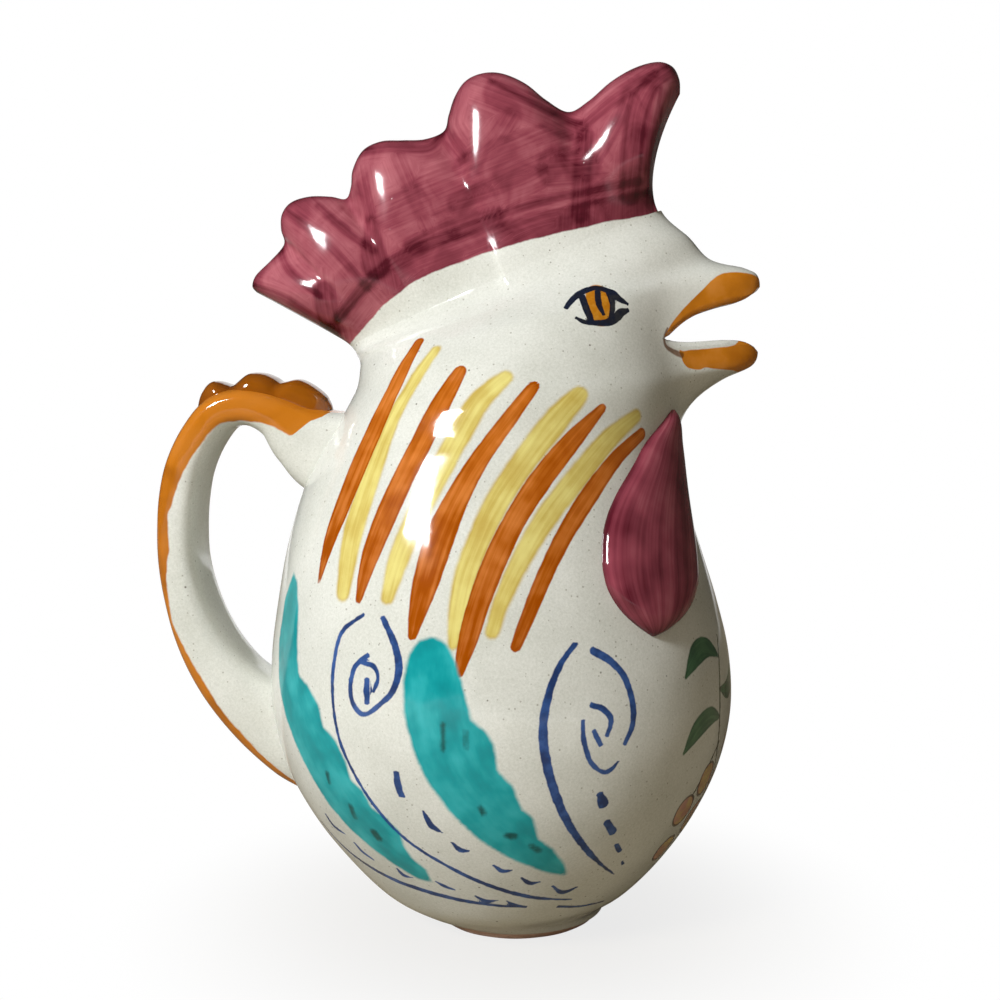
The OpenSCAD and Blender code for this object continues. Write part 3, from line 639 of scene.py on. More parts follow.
def normals(mesh):
    """The smooth normals of a mesh's vertices as rows."""
    out = np.empty(len(mesh.vertices) * 3, np.float32)
    mesh.vertices.foreach_get("normal", out)
    return out.reshape(-1, 3).astype(float)


def numbers(mesh, name):
    """A named number of each vertex."""
    out = np.empty(len(mesh.vertices), np.float32)
    mesh.attributes[name].data.foreach_get("value", out)
    return out.astype(float)


def write_numbers(mesh, name, values):
    """Keeps a named number for each vertex."""
    attribute = mesh.attributes.get(name) or mesh.attributes.new(name, "FLOAT", "POINT")
    attribute.data.foreach_set("value", np.asarray(values, np.float32))


def write_vectors(mesh, name, values):
    """Keeps a named vector for each vertex."""
    attribute = mesh.attributes.get(name) or mesh.attributes.new(name, "FLOAT_VECTOR", "POINT")
    attribute.data.foreach_set("vector", np.asarray(values, np.float32).ravel())


def open_normals(mesh):
    """Smooth normals of the vertices as if the flat caps weren't there, and which faces are caps."""
    cap = numbers(mesh, "cap") > 0.5
    p = positions(mesh)
    out = np.zeros((len(p), 3))
    flat = set()
    for polygon in mesh.polygons:
        corners = list(polygon.vertices)
        if cap[corners].any():
            flat.add(polygon.index)
        else:
            out[corners] += np.array(polygon.normal) * polygon.area
    length = np.linalg.norm(out, axis=1, keepdims=True)
    return np.where(length > 1e-12, out / np.maximum(length, 1e-12), normals(mesh)), flat


def use_normals(mesh, smooth, flat):
    """Shades a mesh with given normals, and its caps flat."""
    loops = np.empty((len(mesh.loops), 3), np.float32)
    for polygon in mesh.polygons:
        for corner in range(polygon.loop_start, polygon.loop_start + polygon.loop_total):
            vertex = mesh.loops[corner].vertex_index
            loops[corner] = polygon.normal if polygon.index in flat else smooth[vertex]
    mesh.normals_split_custom_set(loops)


def place_piece(name, mesh, material, slot, *nodes):
    """Puts a finished mesh in the scene in place of its CAD nodes."""
    mesh.name = name
    mesh.materials.clear()
    mesh.materials.append(material)
    mesh.shade_smooth()
    piece = bpy.data.objects.new(name, mesh)
    bpy.context.scene.collection.objects.link(piece)
    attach(piece, "root")
    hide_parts(*nodes)
    return piece


def mouth_limits(form, turns, places):
    """For each column, the rows where it meets the lower and the upper lip, or None if the mouth is shut."""
    limits = []
    corner = LOWER_LIP_SHARES[0][0] * form.reach
    for column in range(turns.shape[1]):
        track = form.skin(places, turns[:, column])
        low = track[:, 2] - form.lip(LOWER_LIP_SHARES, track[:, 0])
        high = form.lip(UPPER_LIP_SHARES, track[:, 0]) - track[:, 2]
        inside = np.flatnonzero((track[:, 0] > corner) & (low > 0) & (high > 0))
        if len(inside) < 2:
            break
        first, last = inside[0], inside[-1]
        step = places[1] - places[0]
        start = places[first] - step * np.clip(low[first] / (low[first] - low[first - 1]), 0, 1)
        end = places[last] + step * np.clip(high[last] / (high[last] - high[last + 1]), 0, 1)
        limits.append((start, end))
    return np.array(limits)


def body_mesh(form):
    """The cast shell: outer skin, rounded lips and inner skin, sewn together at the lips."""
    sizes = form.sizes
    places = np.linspace(0, TOP_ROW, 881)
    turns = form.even_turns(places, HALF_COLUMNS)
    limits = mouth_limits(form, turns, places)
    corner_column = len(limits)
    corner_place = limits[-1].mean()
    low = np.full(HALF_COLUMNS + 1, corner_place)
    high = low.copy()
    low[:corner_column], high[:corner_column] = limits[:, 0], limits[:, 1]
    columns = np.arange(HALF_COLUMNS + 1)

    def turn_at(place):
        spot = place / TOP_ROW * (len(places) - 1)
        i = np.clip(np.floor(spot).astype(int), 0, len(places) - 2)
        f = spot - i
        return turns[i, columns] * (1 - f) + turns[i + 1, columns] * f

    side = form.skin(places, np.full(len(places), np.pi / 2))
    rise = run_along(side)

    def rings(start, end, count):
        """Places of rings between two rows, evenly spaced on the skin, for every column."""
        a, b = np.interp(start, places, rise), np.interp(end, places, rise)
        return np.array([np.interp(a + (b - a) * f, rise, places) for f in np.linspace(0, 1, count)])

    def outer(ring_places):
        return np.array([form.skin(row, turn_at(row)) for row in ring_places])

    def inner(ring_places):
        points = np.array(
            [form.skin(row, turn_at(row), -sizes.wall, -form.solid_tip) for row in ring_places])
        points[..., 2] = np.maximum(points[..., 2], sizes.foot_height + sizes.floor)
        return points

    zero = np.zeros(HALF_COLUMNS + 1)
    parts = {
        "outer_low": rings(zero, low, LOWER_RINGS),
        "outer_high": rings(high, zero + TOP_ROW, UPPER_RINGS),
        "inner_low": rings(low, zero + INNER_START, INNER_LOW_RINGS),
        "inner_high": rings(high, zero + TOP_ROW - INNER_END, INNER_HIGH_RINGS)}
    points = {name: (outer if name.startswith("outer") else inner)(value) for name, value in parts.items()}

    # The inner edge of the lips is the outer edge drawn in, and the inner skin is eased onto it.
    open_columns = slice(0, corner_column + 1)
    corner = points["outer_low"][-1, corner_column, 0]
    tip = points["outer_low"][-1, 0, 0]
    edges = {}
    for level, ring, shares in (("low", -1, LOWER_LIP_SHARES), ("high", 0, UPPER_LIP_SHARES)):
        edge = points[f"outer_{level}"][ring, open_columns]
        drawn = edge.copy()
        drawn[:, 0] = corner + (edge[:, 0] - corner) * (tip - form.solid_tip - corner) / (tip - corner)
        drawn[:, 1] = edge[:, 1] * (1 - LIP_WIDTH / (sizes.beak_width / 2))
        drawn[:, 2] = form.lip(shares, drawn[:, 0])
        drawn[-1, 2] = edge[-1, 2]
        edges[level] = (edge, drawn)
    edges["high"][1][-1] = edges["low"][1][-1]
    for level in ("low", "high"):
        skin = points[f"inner_{level}"]
        shift = np.zeros((HALF_COLUMNS + 1, 3))
        shift[open_columns] = edges[level][1] - skin[0, open_columns]
        fade = ease(1 - np.arange(HALF_COLUMNS - corner_column) / 14)[:, None]
        shift[corner_column + 1:] = shift[corner_column] * fade
        rows = ease(1 - np.arange(len(skin)) / (14 if level == "low" else 9))
        skin += rows[:, None, None] * shift[None]

    sheets = Sheets()
    for name, half in points.items():
        half[:, [0, -1], 1] = 0
        whole = mirrored(half)
        whole[:, HALF_COLUMNS + 1:, 1] *= -1
        row_turns = np.array([turn_at(row) for row in parts[name]])
        sheets.grid(
            whole, closed=True, caps=(name == "outer_low", name != "outer_low"), place=mirrored(parts[name]),
            turn=mirrored(row_turns), inside=float(name.startswith("inner")))
    gap = edges["high"][0][:, 2] - edges["low"][0][:, 2]
    share = np.linspace(0, 1, LIP_RINGS + 1)[:, None, None]
    for level, sign in (("low", 1), ("high", -1)):
        edge, drawn = edges[level]
        strip = edge + (drawn - edge) * share
        round_off = np.minimum(LIP_ROUND, 0.3 * np.maximum(gap, 0))
        round_off[-1] = 0
        strip[..., 2] += sign * round_off * np.sqrt(4 * share[..., 0] * (1 - share[..., 0]))
        whole = np.concatenate([strip[:, :0:-1] * [1, -1, 1], strip], 1)
        whole[:, corner_column, 1] = 0
        place = low if level == "low" else high
        row = np.concatenate([place[open_columns][:0:-1], place[open_columns]])
        turn_row = turn_at(place)[open_columns]
        turn_row = np.concatenate([turn_row[:0:-1], turn_row])
        sheets.grid(
            whole, place=row, turn=turn_row, inside=ease(np.linspace(-0.6, 1.6, LIP_RINGS + 1))[:, None])
    return sheets.mesh("body")


def stroke_line(form, stations, front=False):
    """A painted stroke as close points on the skin, with the length and the half width at each."""
    rows = fine_rows(stations, 8 * (len(stations) - 1) + 1)
    if front:
        line = form.skin(rows[:, 0], np.radians(rows[:, 1]))
    else:
        line = form.side_points(rows[:, 0] * form.sizes.belly_depth, rows[:, 1] * form.sizes.body_height)
    length = run_along(line)
    return line, length, np.maximum(rows[:, 2], 0.2) * MM


def brushwork(form):
    """All strokes on the body: name, whether they are thin lines, and their lines on the skin."""
    side = (
        ("yellow", False, YELLOW_STROKES), ("orange", False, ORANGE_STROKES),
        ("touches", False, LEAF_TOUCHES), ("blue", True, BLUE_LINES + BLUE_MARKS), ("ink", True, EYE_LINES),
        ("iris", False, IRIS), ("mouth", True, [MOUTH_LINE]))
    breast = (("sprig", False, SPRIG_LEAVES), ("stem", True, SPRIG_STEMS), ("berries", False, SPRIG_BERRIES))
    work = {}
    for painted, front in ((side, False), (breast, True)):
        for name, thin, strokes in painted:
            work[name] = (thin, [stroke_line(form, stroke, front) for stroke in strokes])
    for name, outline in (("side_leaf", SIDE_LEAF), ("back_leaf", BACK_LEAF)):
        ring = outline + outline[:1]
        line = form.side_points(
            [x * form.sizes.belly_depth for x, z in ring], [z * form.sizes.body_height for x, z in ring])
        work[name] = (False, [(line, np.zeros(len(line)), np.zeros(len(line)))])
    return work


def beside(points, ends, widths):
    """One step of a stroke: its heading and length, and for each point its share along the step, its offset
    from it, the half width there and the distance outside that."""
    segment = ends[1] - ends[0]
    size = max(float(np.linalg.norm(segment)), 1e-7)
    t = np.clip((points - ends[0]) @ segment / size ** 2, 0, 1)
    offset = points - ends[0] - t[:, None] * segment
    wide = widths[0] + t * (widths[1] - widths[0])
    return segment / size, size, t, offset, wide, np.linalg.norm(offset, axis=1) - wide


class Canvas:
    """The skin's vertices as a surface to paint on. Both sides get the same strokes."""

    def __init__(self, mesh):
        self.mesh = mesh
        self.points = positions(mesh)
        self.normals = normals(mesh)
        away = self.points[:, 1] < 0
        self.points[:, 1] = np.abs(self.points[:, 1])
        self.normals[:, 1] *= np.where(away, -1, 1)
        self.outside = numbers(mesh, "inside") < 0.5

    def measure(self, strokes, reach):
        """Distance outside the nearest stroke, way across it and along it, its half width and its number."""
        count = len(self.points)
        depth, across, along, half, which = (np.full(count, v) for v in (20 * MM, 0.0, 0.0, 1 * MM, 0.0))
        for number, (line, length, width) in enumerate(strokes):
            low, high = line.min(0) - reach, line.max(0) + reach
            near = np.flatnonzero(self.outside & np.all((self.points > low) & (self.points < high), 1))
            p, n = self.points[near], self.normals[near]
            for i in range(len(line) - 1):
                heading, size, t, offset, wide, value = beside(p, line[i:i + 2], width[i:i + 2])
                closer = value < depth[near]
                chosen = near[closer]
                depth[chosen] = value[closer]
                across[chosen] = np.einsum("ij,ij->i", offset, np.cross(n, heading))[closer]
                along[chosen] = (length[i] + t * size)[closer]
                half[chosen] = wide[closer]
                which[chosen] = number
        return depth, across, along, half, which

    def broad(self, name, strokes):
        """Broad strokes: how far outside them a point is, and where in the brush's own grain."""
        depth, across, along, _, which = self.measure(strokes, 8 * MM)
        write_numbers(self.mesh, name, depth)
        write_vectors(self.mesh, name + "_grain", np.stack([across, along, which * 0.037], -1))

    def thin(self, name, strokes):
        """Thin lines: the signed way across, the half width and the distance outside them."""
        depth, across, _, half, _ = self.measure(strokes, 5 * MM)
        write_numbers(self.mesh, name + "_across", across)
        write_numbers(self.mesh, name + "_half", half)
        write_numbers(self.mesh, name + "_away", depth)

    def leaf(self, outline, strokes, scale):
        """How far outside an outline of the side view a point is."""
        depth = self.measure(strokes, 14 * MM)[0]
        x, z = self.points[:, 0] / scale[0], self.points[:, 2] / scale[1]
        inside = np.zeros(len(x), bool)
        for (x1, z1), (x2, z2) in zip(outline, outline[1:] + outline[:1]):
            crossed = (z1 > z) != (z2 > z)
            inside ^= crossed & (x < x1 + (z - z1) * (x2 - x1) / (z2 - z1 + 1e-12))
        return np.where(inside & self.outside, -np.abs(depth), np.abs(depth))


def lip_paint(form, points):
    """How far outside the ochre on the lips a point is."""
    x, z = points[:, 0], points[:, 2]

    def edge_line(shares):
        line = fine_rows(shares, 160)
        return np.interp(x, line[:, 0] * form.reach, line[:, 1] * form.sizes.body_height)

    upper = np.maximum((z - edge_line(UPPER_OCHRE_SHARES)) * 0.85, LOWER_LIP_SHARES[0][0] * form.reach - x)
    lower = np.maximum(edge_line(LOWER_OCHRE_SHARES) - z, z - edge_line(LOWER_OCHRE_TOP_SHARES))
    lower = np.maximum(lower, LOWER_OCHRE_SHARES[0][0] * form.reach - x)
    above = z > form.mouth_height + 0.058 * form.sizes.gape
    return np.where(above, upper, lower)


def refine(form, mesh, work):
    """Splits the faces that painted edges run through, and puts the new vertices on the skin."""
    eye = form.side_points([0.172 * form.sizes.belly_depth], [0.868 * form.sizes.body_height])[0]
    for number, (band, eye_band) in enumerate(REFINE_PASSES):
        canvas = Canvas(mesh)
        chosen = np.linalg.norm(canvas.points - eye, axis=1) < eye_band * MM
        if number < 2:
            at_lips = np.abs(lip_paint(form, canvas.points)) < band * MM
            chosen |= at_lips & (canvas.points[:, 0] > 0.58 * form.reach)
            chosen |= canvas.points[:, 0] > 0.9 * form.reach
        for name, (thin, strokes) in work.items():
            if number == 2 or (number == 1 and not thin):
                continue
            depth = canvas.measure(strokes, 5 * MM)[0]
            chosen |= (depth < band * MM) if thin else (np.abs(depth) < band * MM)
        chosen &= numbers(mesh, "inside") < 0.01
        split = bmesh.new()
        split.from_mesh(mesh)
        split.verts.ensure_lookup_table()
        flags = chosen.tolist()
        edges = [edge for edge in split.edges if flags[edge.verts[0].index] or flags[edge.verts[1].index]]
        bmesh.ops.subdivide_edges(split, edges=edges, cuts=1, use_grid_fill=True)
        split.to_mesh(mesh)
        split.free()
        now = positions(mesh)
        target = form.skin(numbers(mesh, "place"), numbers(mesh, "turn"))
        target[:, 1] *= np.sign(now[:, 1])
        fits = (numbers(mesh, "inside") < 0.01) & (np.linalg.norm(target - now, axis=1) < 0.8 * MM)
        now[fits] = target[fits]
        move_to(mesh, now)


def paint_body(form, mesh, work):
    """Lays out all the painted decoration on the skin."""
    canvas = Canvas(mesh)
    for name, (thin, strokes) in work.items():
        if not name.endswith("leaf"):
            (canvas.thin if thin else canvas.broad)(name, strokes)
    scale = form.sizes.belly_depth, form.sizes.body_height
    teal = np.minimum(
        canvas.leaf(SIDE_LEAF, work["side_leaf"][1], scale),
        canvas.leaf(BACK_LEAF, work["back_leaf"][1], scale))
    write_numbers(mesh, "teal", teal)
    _, across, along, _, which = canvas.measure([stroke_line(form, stroke) for stroke in LEAF_FLOW], 30 * MM)
    write_vectors(mesh, "teal_grain", np.stack([across, along, which * 0.037], -1))
    ochre = np.where(numbers(mesh, "inside") > 0.45, 20 * MM, lip_paint(form, canvas.points))
    write_numbers(mesh, "ochre", ochre)


def cut_piece(mesh, name, keep):
    """One piece of the shell, cut off square at the beak's joint, with the shell's smooth normals."""
    write_vectors(mesh, "smooth_normal", open_normals(mesh)[0])
    work = bmesh.new()
    work.from_mesh(mesh)
    keep(work)
    rim = [edge for edge in work.edges if edge.is_boundary]
    caps = bmesh.ops.holes_fill(work, edges=rim, sides=0)["faces"]
    bmesh.ops.recalc_face_normals(work, faces=work.faces)
    work.faces.index_update()
    flat = {face.index for face in caps}
    layer = work.verts.layers.float["cap"]
    flat |= {face.index for face in work.faces if any(vertex[layer] > 0.5 for vertex in face.verts)}
    piece = bpy.data.meshes.new(name)
    work.to_mesh(piece)
    work.free()
    piece.shade_smooth()
    kept = np.empty(len(piece.vertices) * 3, np.float32)
    piece.attributes["smooth_normal"].data.foreach_get("vector", kept)
    use_normals(piece, kept.reshape(-1, 3), flat)
    piece.attributes.remove(piece.attributes["smooth_normal"])
    return piece


def beak_cut(form, side, split=None):
    """How a piece is kept: in front of the beak's joint or behind it, and above or below the mouth."""
    joint = form.reach - form.sizes.beak_tip

    def keep(work):
        bmesh.ops.bisect_plane(
            work, geom=work.verts[:] + work.edges[:] + work.faces[:], dist=0.0001 * MM,
            plane_co=(joint, 0, 0), plane_no=(1, 0, 0), clear_outer=side == "behind",
            clear_inner=side == "front")
        if split:
            middle = form.mouth_height + 0.25 * form.sizes.gape
            wrong = [v for v in work.verts if (v.co.z > middle) != (split == "above")]
            bmesh.ops.delete(work, geom=wrong, context="VERTS")
    return keep


def comb_half(form, column, height):
    """Half thickness of the comb at a column and a height share, rounded to nothing at the ridge."""
    place = column[..., 0]
    root = np.sqrt(np.maximum(0, 1 - (2 * place - 1) ** 2)) * form.sizes.comb_root / 2
    shallow = 0.86 * (1 - ease((height - 0.55) / 0.42)) * ease(np.minimum(place, 1 - place) / 0.08)
    fat = column[..., 3] + (1 - column[..., 3]) * shallow
    full = root + (fat * form.sizes.comb_thickness / 2 - root) * ease(height / 0.45)
    return full * np.sqrt(np.maximum(0, 1 - height ** 3.6))


def comb_mesh(form):
    """The five-lobed comb as a pillow between its root line and its scalloped ridge."""
    columns = fine_rows(COMB_SHARES, 34 * 9)
    columns[:, 3] = np.clip(columns[:, 3], 0, 1.05)
    heights = np.sin(np.linspace(0, 1, 84) * np.pi / 2)
    shape = (len(heights), len(columns))
    column = np.broadcast_to(columns[None, :, :], shape + (4,))
    height = np.broadcast_to(heights[:, None], shape)
    half = comb_half(form, column, height)
    half[:, 0] = 0
    half[:, -1] = 0
    half[-1] = 0
    near = form.comb_point(column, height, -half)
    far = form.comb_point(column, height, half)
    loop = np.concatenate([near, far[:, -2:0:-1]], 1)

    sheets = Sheets()
    sheets.grid(
        loop, closed=True, caps=(True, False), height=mirrored(height), column=mirrored(column[..., 0]),
        tall=mirrored(column[..., 2]))
    return sheets.mesh("comb")


def luted_joint(form):
    """Tables of shifts that melt the comb's root into the head: by place and turn, by height and column."""
    columns = fine_rows(COMB_SHARES, 400)
    shares = np.linspace(0, 1, 91)
    places, heights = np.linspace(16.5, TOP_ROW, 90), np.linspace(0, 0.6, 70)
    turns, body, comb = [], [], []
    dense = np.linspace(0, np.pi, 1500)
    rim = form.skin(np.full(1500, TOP_ROW), dense)
    rim_x, rim_z = rim[:, 0] - form.root_middle[0], rim[:, 2] - form.root_middle[1]
    rim_share = 0.5 + (rim_x * form.root_run + rim_z * form.root_rise) / form.root_length
    for share in shares:
        turn = float(np.interp(share, rim_share[::-1], dense[::-1]))
        column = np.array([np.interp(share, columns[:, 0], columns[:, k]) for k in range(4)])
        column = np.broadcast_to(column, (len(heights), 4))
        low = form.skin(places, np.full(len(places), turn))
        high = form.comb_point(column, heights, comb_half(form, column, heights))
        arc = run_along(high)
        meet = (low[-1] - high[0]) * ease(1 - arc / MELT_MEET)[:, None]
        high += meet
        track = np.concatenate([low, high[1:]])
        length = run_along(track)
        length -= length[len(places) - 1]
        even = np.arange(length[0], length[-1], MELT_STEP * MM)
        line = np.stack([np.interp(even, length, track[:, k]) for k in range(3)], -1)
        kernel = np.exp(-0.5 * (np.arange(-24, 25) * MELT_STEP / MELT_BLUR) ** 2)
        kernel /= kernel.sum()
        padded = np.concatenate([2 * line[:1] - line[24:0:-1], line, 2 * line[-1:] - line[-2:-26:-1]])
        soft = np.stack([np.convolve(padded[:, k], kernel, "valid") for k in range(3)], -1)
        moved = np.stack([np.interp(length, even, (soft - line)[:, k]) for k in range(3)], -1)
        moved *= ease(1.25 * (1 - np.abs(length) / MELT_REACH))[:, None]
        if share in (0.0, 1.0):
            moved[:, 1] = 0
        turns.append(turn)
        body.append(moved[:len(places)])
        comb.append(moved[len(places) - 1:] + meet)
    return shares, np.array(turns), places, heights, np.array(body), np.array(comb)


def look_up(table, rows, columns, row, column):
    """Values between the entries of a table whose row and column marks rise."""
    i = np.interp(row, rows, np.arange(len(rows)))
    j = np.interp(column, columns, np.arange(len(columns)))
    i0, j0 = np.minimum(i.astype(int), len(rows) - 2), np.minimum(j.astype(int), len(columns) - 2)
    f, g = (i - i0)[:, None], (j - j0)[:, None]
    before = table[i0, j0] * (1 - f) + table[i0 + 1, j0] * f
    after = table[i0, j0 + 1] * (1 - f) + table[i0 + 1, j0 + 1] * f
    return before * (1 - g) + after * g


def melt_body(form, mesh):
    """The head's side of the luted joint."""
    _, turns, places, _, body, _ = luted_joint(form)
    p = positions(mesh)
    shift = look_up(body[::-1], turns[::-1], places, numbers(mesh, "turn"), numbers(mesh, "place"))
    shift[:, 1] *= np.sign(p[:, 1])
    shift[(numbers(mesh, "inside") > 0.01) | (numbers(mesh, "place") < places[0])] = 0
    move_to(mesh, p + shift)


def melt_comb(form, mesh):
    """The comb's side of the luted joint."""
    shares, _, _, heights, _, comb = luted_joint(form)
    p = positions(mesh)
    shift = look_up(comb, shares, heights, numbers(mesh, "column"), numbers(mesh, "height"))
    shift[:, 1] *= np.sign(p[:, 1])
    shift[numbers(mesh, "height") > 0.6] = 0
    move_to(mesh, p + shift)


def paint_comb(form, mesh):
    """Where the plum starts, which way the brush ran and how much colour its overlapping strokes left."""
    p = positions(mesh)
    dx, dz = p[:, 0] - form.root_middle[0], p[:, 2] - form.root_middle[1]
    along = dx * form.root_run + dz * form.root_rise
    out = -dx * form.root_rise + dz * form.root_run
    line = fine_rows(COMB_PAINT_LINE, 120)
    limit = np.interp(along / form.root_length + 0.5, line[:, 0], line[:, 1] * MM)
    write_numbers(mesh, "plum", out - limit)
    # More colour in a line above the edge, in a band over it, towards the beak, and darker along the ridge
    pigment = 0.2 + 0.24 * np.exp(-((out - limit - 7.5 * MM) / (1.1 * MM)) ** 2)
    pigment += 0.26 * ease(1.0 - (out - limit - 6 * MM) / (3 * MM)) * ease((along + 42 * MM) / (16 * MM))
    pigment += 0.14 * ease((along - 18 * MM) / (22 * MM)) * ease(1.3 - (out - limit) / (28 * MM))
    ridge = (1 - numbers(mesh, "height")) * numbers(mesh, "tall") * form.sizes.comb_height
    pigment += 0.36 * np.exp(-(ridge / (1.8 * MM)) ** 2)
    flow = np.stack([along, out], -1)
    flat = p[:, [0, 2]]
    scale = np.array([form.sizes.belly_depth, form.sizes.body_height])
    nearest = np.full(len(p), 6 * MM)
    for stations, strength in COMB_STROKES:
        rows = fine_rows(stations, 8 * (len(stations) - 1) + 1)
        spots, wide = rows[:, :2] * scale, np.maximum(rows[:, 2], 0.4) * MM
        depth = np.full(len(p), 1.0)
        across, length, run = np.zeros(len(p)), np.zeros(len(p)), 0.0
        for i in range(len(spots) - 1):
            heading, size, t, offset, _, value = beside(flat, spots[i:i + 2], wide[i:i + 2])
            closer = value < depth
            depth[closer] = value[closer]
            across[closer] = (offset[:, 0] * heading[1] - offset[:, 1] * heading[0])[closer]
            length[closer] = (run + t * size)[closer]
            run += size
        cover = ease(0.5 - depth / (2.2 * MM))
        rim = np.exp(-((depth + 0.6 * MM) / (0.9 * MM)) ** 2)
        pigment += strength * (cover * 0.8 + rim * 0.3)
        better = depth < nearest
        nearest[better] = depth[better]
        flow[better] = np.stack([length, across], -1)[better]
    write_numbers(mesh, "pigment", pigment)
    write_vectors(mesh, "brush", np.stack([flow[:, 0], flow[:, 1], 0 * along], -1))


def wattle_mesh(form, side):
    """One wattle: a drop of clay pressed on the throat, full in the middle and thin at its edge."""
    rows = fine_rows(WATTLE_ROWS, 96)
    f = np.radians(np.linspace(-90, 90, 72))
    place = np.broadcast_to(rows[:, 0:1], (len(rows), len(f)))
    turn = np.radians(rows[:, 1:2] + rows[:, 2:3] * np.sin(f)[None])
    bulge = (form.sizes.wattle_bulge * rows[:, 3:4]) * np.cos(f)[None] ** 0.62
    front = form.skin(place, turn, bulge - WATTLE_SUNK * (1 - np.cos(f)[None] ** 0.62))
    back_turn = np.radians(rows[:, 1:2] + rows[:, 2:3] * np.linspace(1, -1, 20)[None, 1:-1])
    back = form.skin(np.broadcast_to(rows[:, 0:1], back_turn.shape), back_turn, -WATTLE_SUNK)
    loop = np.concatenate([front, back], 1)
    loop[..., 1] *= side
    across = np.broadcast_to(np.concatenate([np.sin(f), np.linspace(1, -1, 20)[1:-1]]), loop.shape[:2])
    along = np.broadcast_to(np.linspace(0, 1, len(rows))[:, None], loop.shape[:2])
    sheets = Sheets()
    sheets.grid(loop, closed=True, caps=(True, True), across=across, along=along)
    return sheets.mesh("wattle")


def crest_mesh(form):
    """The three-lobed thumb crest, melted onto the strap, its walls folded in between the lobes."""
    rows = fine_rows(CREST_SHARES, 170)
    a = np.radians(np.arange(0, 360, 4))
    seat = -0.1 * form.sizes.strap_thickness
    high = form.sizes.crest_height * rows[:, 1]
    middle, tall = (seat + high) / 2, np.maximum(high - seat, 1 * MM) / 2
    ends = np.sqrt(np.sin(np.linspace(0.02, 0.98, len(rows)) * np.pi)) ** 0.6
    fold = 0.93 + 0.12 * ease((rows[:, 1] - 0.5) / 0.6)
    out = middle[:, None] + tall[:, None] * (np.abs(np.cos(a)) ** 0.8 * np.sign(np.cos(a)))[None]
    wide = form.sizes.crest_width / 2 * ends * fold
    across = wide[:, None] * (np.abs(np.sin(a)) ** 0.62 * np.sign(np.sin(a)))[None]
    points = form.strap_point(np.broadcast_to(rows[:, 0:1], out.shape), out, across)
    sheets = Sheets()
    sheets.grid(points, closed=True, caps=(True, True), lobe=np.broadcast_to(rows[:, 1:2], out.shape))
    return sheets.mesh("crest")


def handle_tree():
    """Geometry nodes that sweep the strap's section along its path: thickness by radius, one width."""
    tree = bpy.data.node_groups.new("Strap Sweep", "GeometryNodeTree")
    tree.interface.new_socket("Path", in_out="INPUT", socket_type="NodeSocketGeometry")
    for label, kind, value in (
        ("Width", "NodeSocketFloat", 0.028), ("Round Corners", "NodeSocketFloat", 0.6),
        ("Section Points", "NodeSocketInt", 56), ("Material", "NodeSocketMaterial", None)
    ):
        socket = tree.interface.new_socket(label, in_out="INPUT", socket_type=kind)
        if value is not None:
            socket.default_value = value
    tree.interface.new_socket("Strap", in_out="OUTPUT", socket_type="NodeSocketGeometry")
    given = add(tree, "NodeGroupInput")
    radius = add(tree, "GeometryNodeInputRadius")
    kept = add(
        tree, "GeometryNodeStoreNamedAttribute",
        {"Geometry": given.outputs["Path"], "Name": "half", "Value": radius}, data_type="FLOAT",
        domain="POINT")
    circle = add(
        tree, "GeometryNodeCurvePrimitiveCircle",
        {"Resolution": given.outputs["Section Points"], "Radius": 1.0}, mode="RADIUS")
    spot = add(tree, "GeometryNodeInputPosition")
    split = add(tree, "ShaderNodeSeparateXYZ", {"Vector": spot})
    squared = []
    for axis in ("X", "Y"):
        size = add(tree, "ShaderNodeMath", {0: split.outputs[axis]}, operation="ABSOLUTE")
        power = add(tree, "ShaderNodeMath", {0: size, 1: given.outputs["Round Corners"]}, operation="POWER")
        sign = add(tree, "ShaderNodeMath", {0: split.outputs[axis]}, operation="SIGN")
        squared.append(add(tree, "ShaderNodeMath", {0: power, 1: sign}, operation="MULTIPLY"))
    corner = add(tree, "ShaderNodeCombineXYZ", {"X": squared[0], "Y": squared[1]})
    section = add(tree, "GeometryNodeSetPosition", {"Geometry": circle, "Position": corner})
    swept = add(
        tree, "GeometryNodeCurveToMesh",
        {"Curve": kept, "Profile Curve": section, "Scale": radius, "Fill Caps": True})
    half = add(tree, "GeometryNodeInputNamedAttribute", {"Name": "half"}, data_type="FLOAT")
    place = add(tree, "GeometryNodeInputPosition")
    parts = add(tree, "ShaderNodeSeparateXYZ", {"Vector": place})
    unit = add(tree, "ShaderNodeMath", {0: parts.outputs["Y"], 1: half}, operation="DIVIDE")
    half_width = add(tree, "ShaderNodeMath", {0: given.outputs["Width"], 1: 0.5}, operation="MULTIPLY")
    across = add(tree, "ShaderNodeMath", {0: unit, 1: half_width}, operation="MULTIPLY")
    wide = add(tree, "ShaderNodeCombineXYZ", {"X": parts.outputs["X"], "Y": across, "Z": parts.outputs["Z"]})
    shaped = add(tree, "GeometryNodeSetPosition", {"Geometry": swept, "Position": wide})
    real = add(tree, "GeometryNodeRealizeInstances", {"Geometry": shaped})
    done = add(tree, "GeometryNodeSetMaterial", {"Geometry": real, "Material": given.outputs["Material"]})
    add(tree, "NodeGroupOutput", {"Strap": done})
    return tree


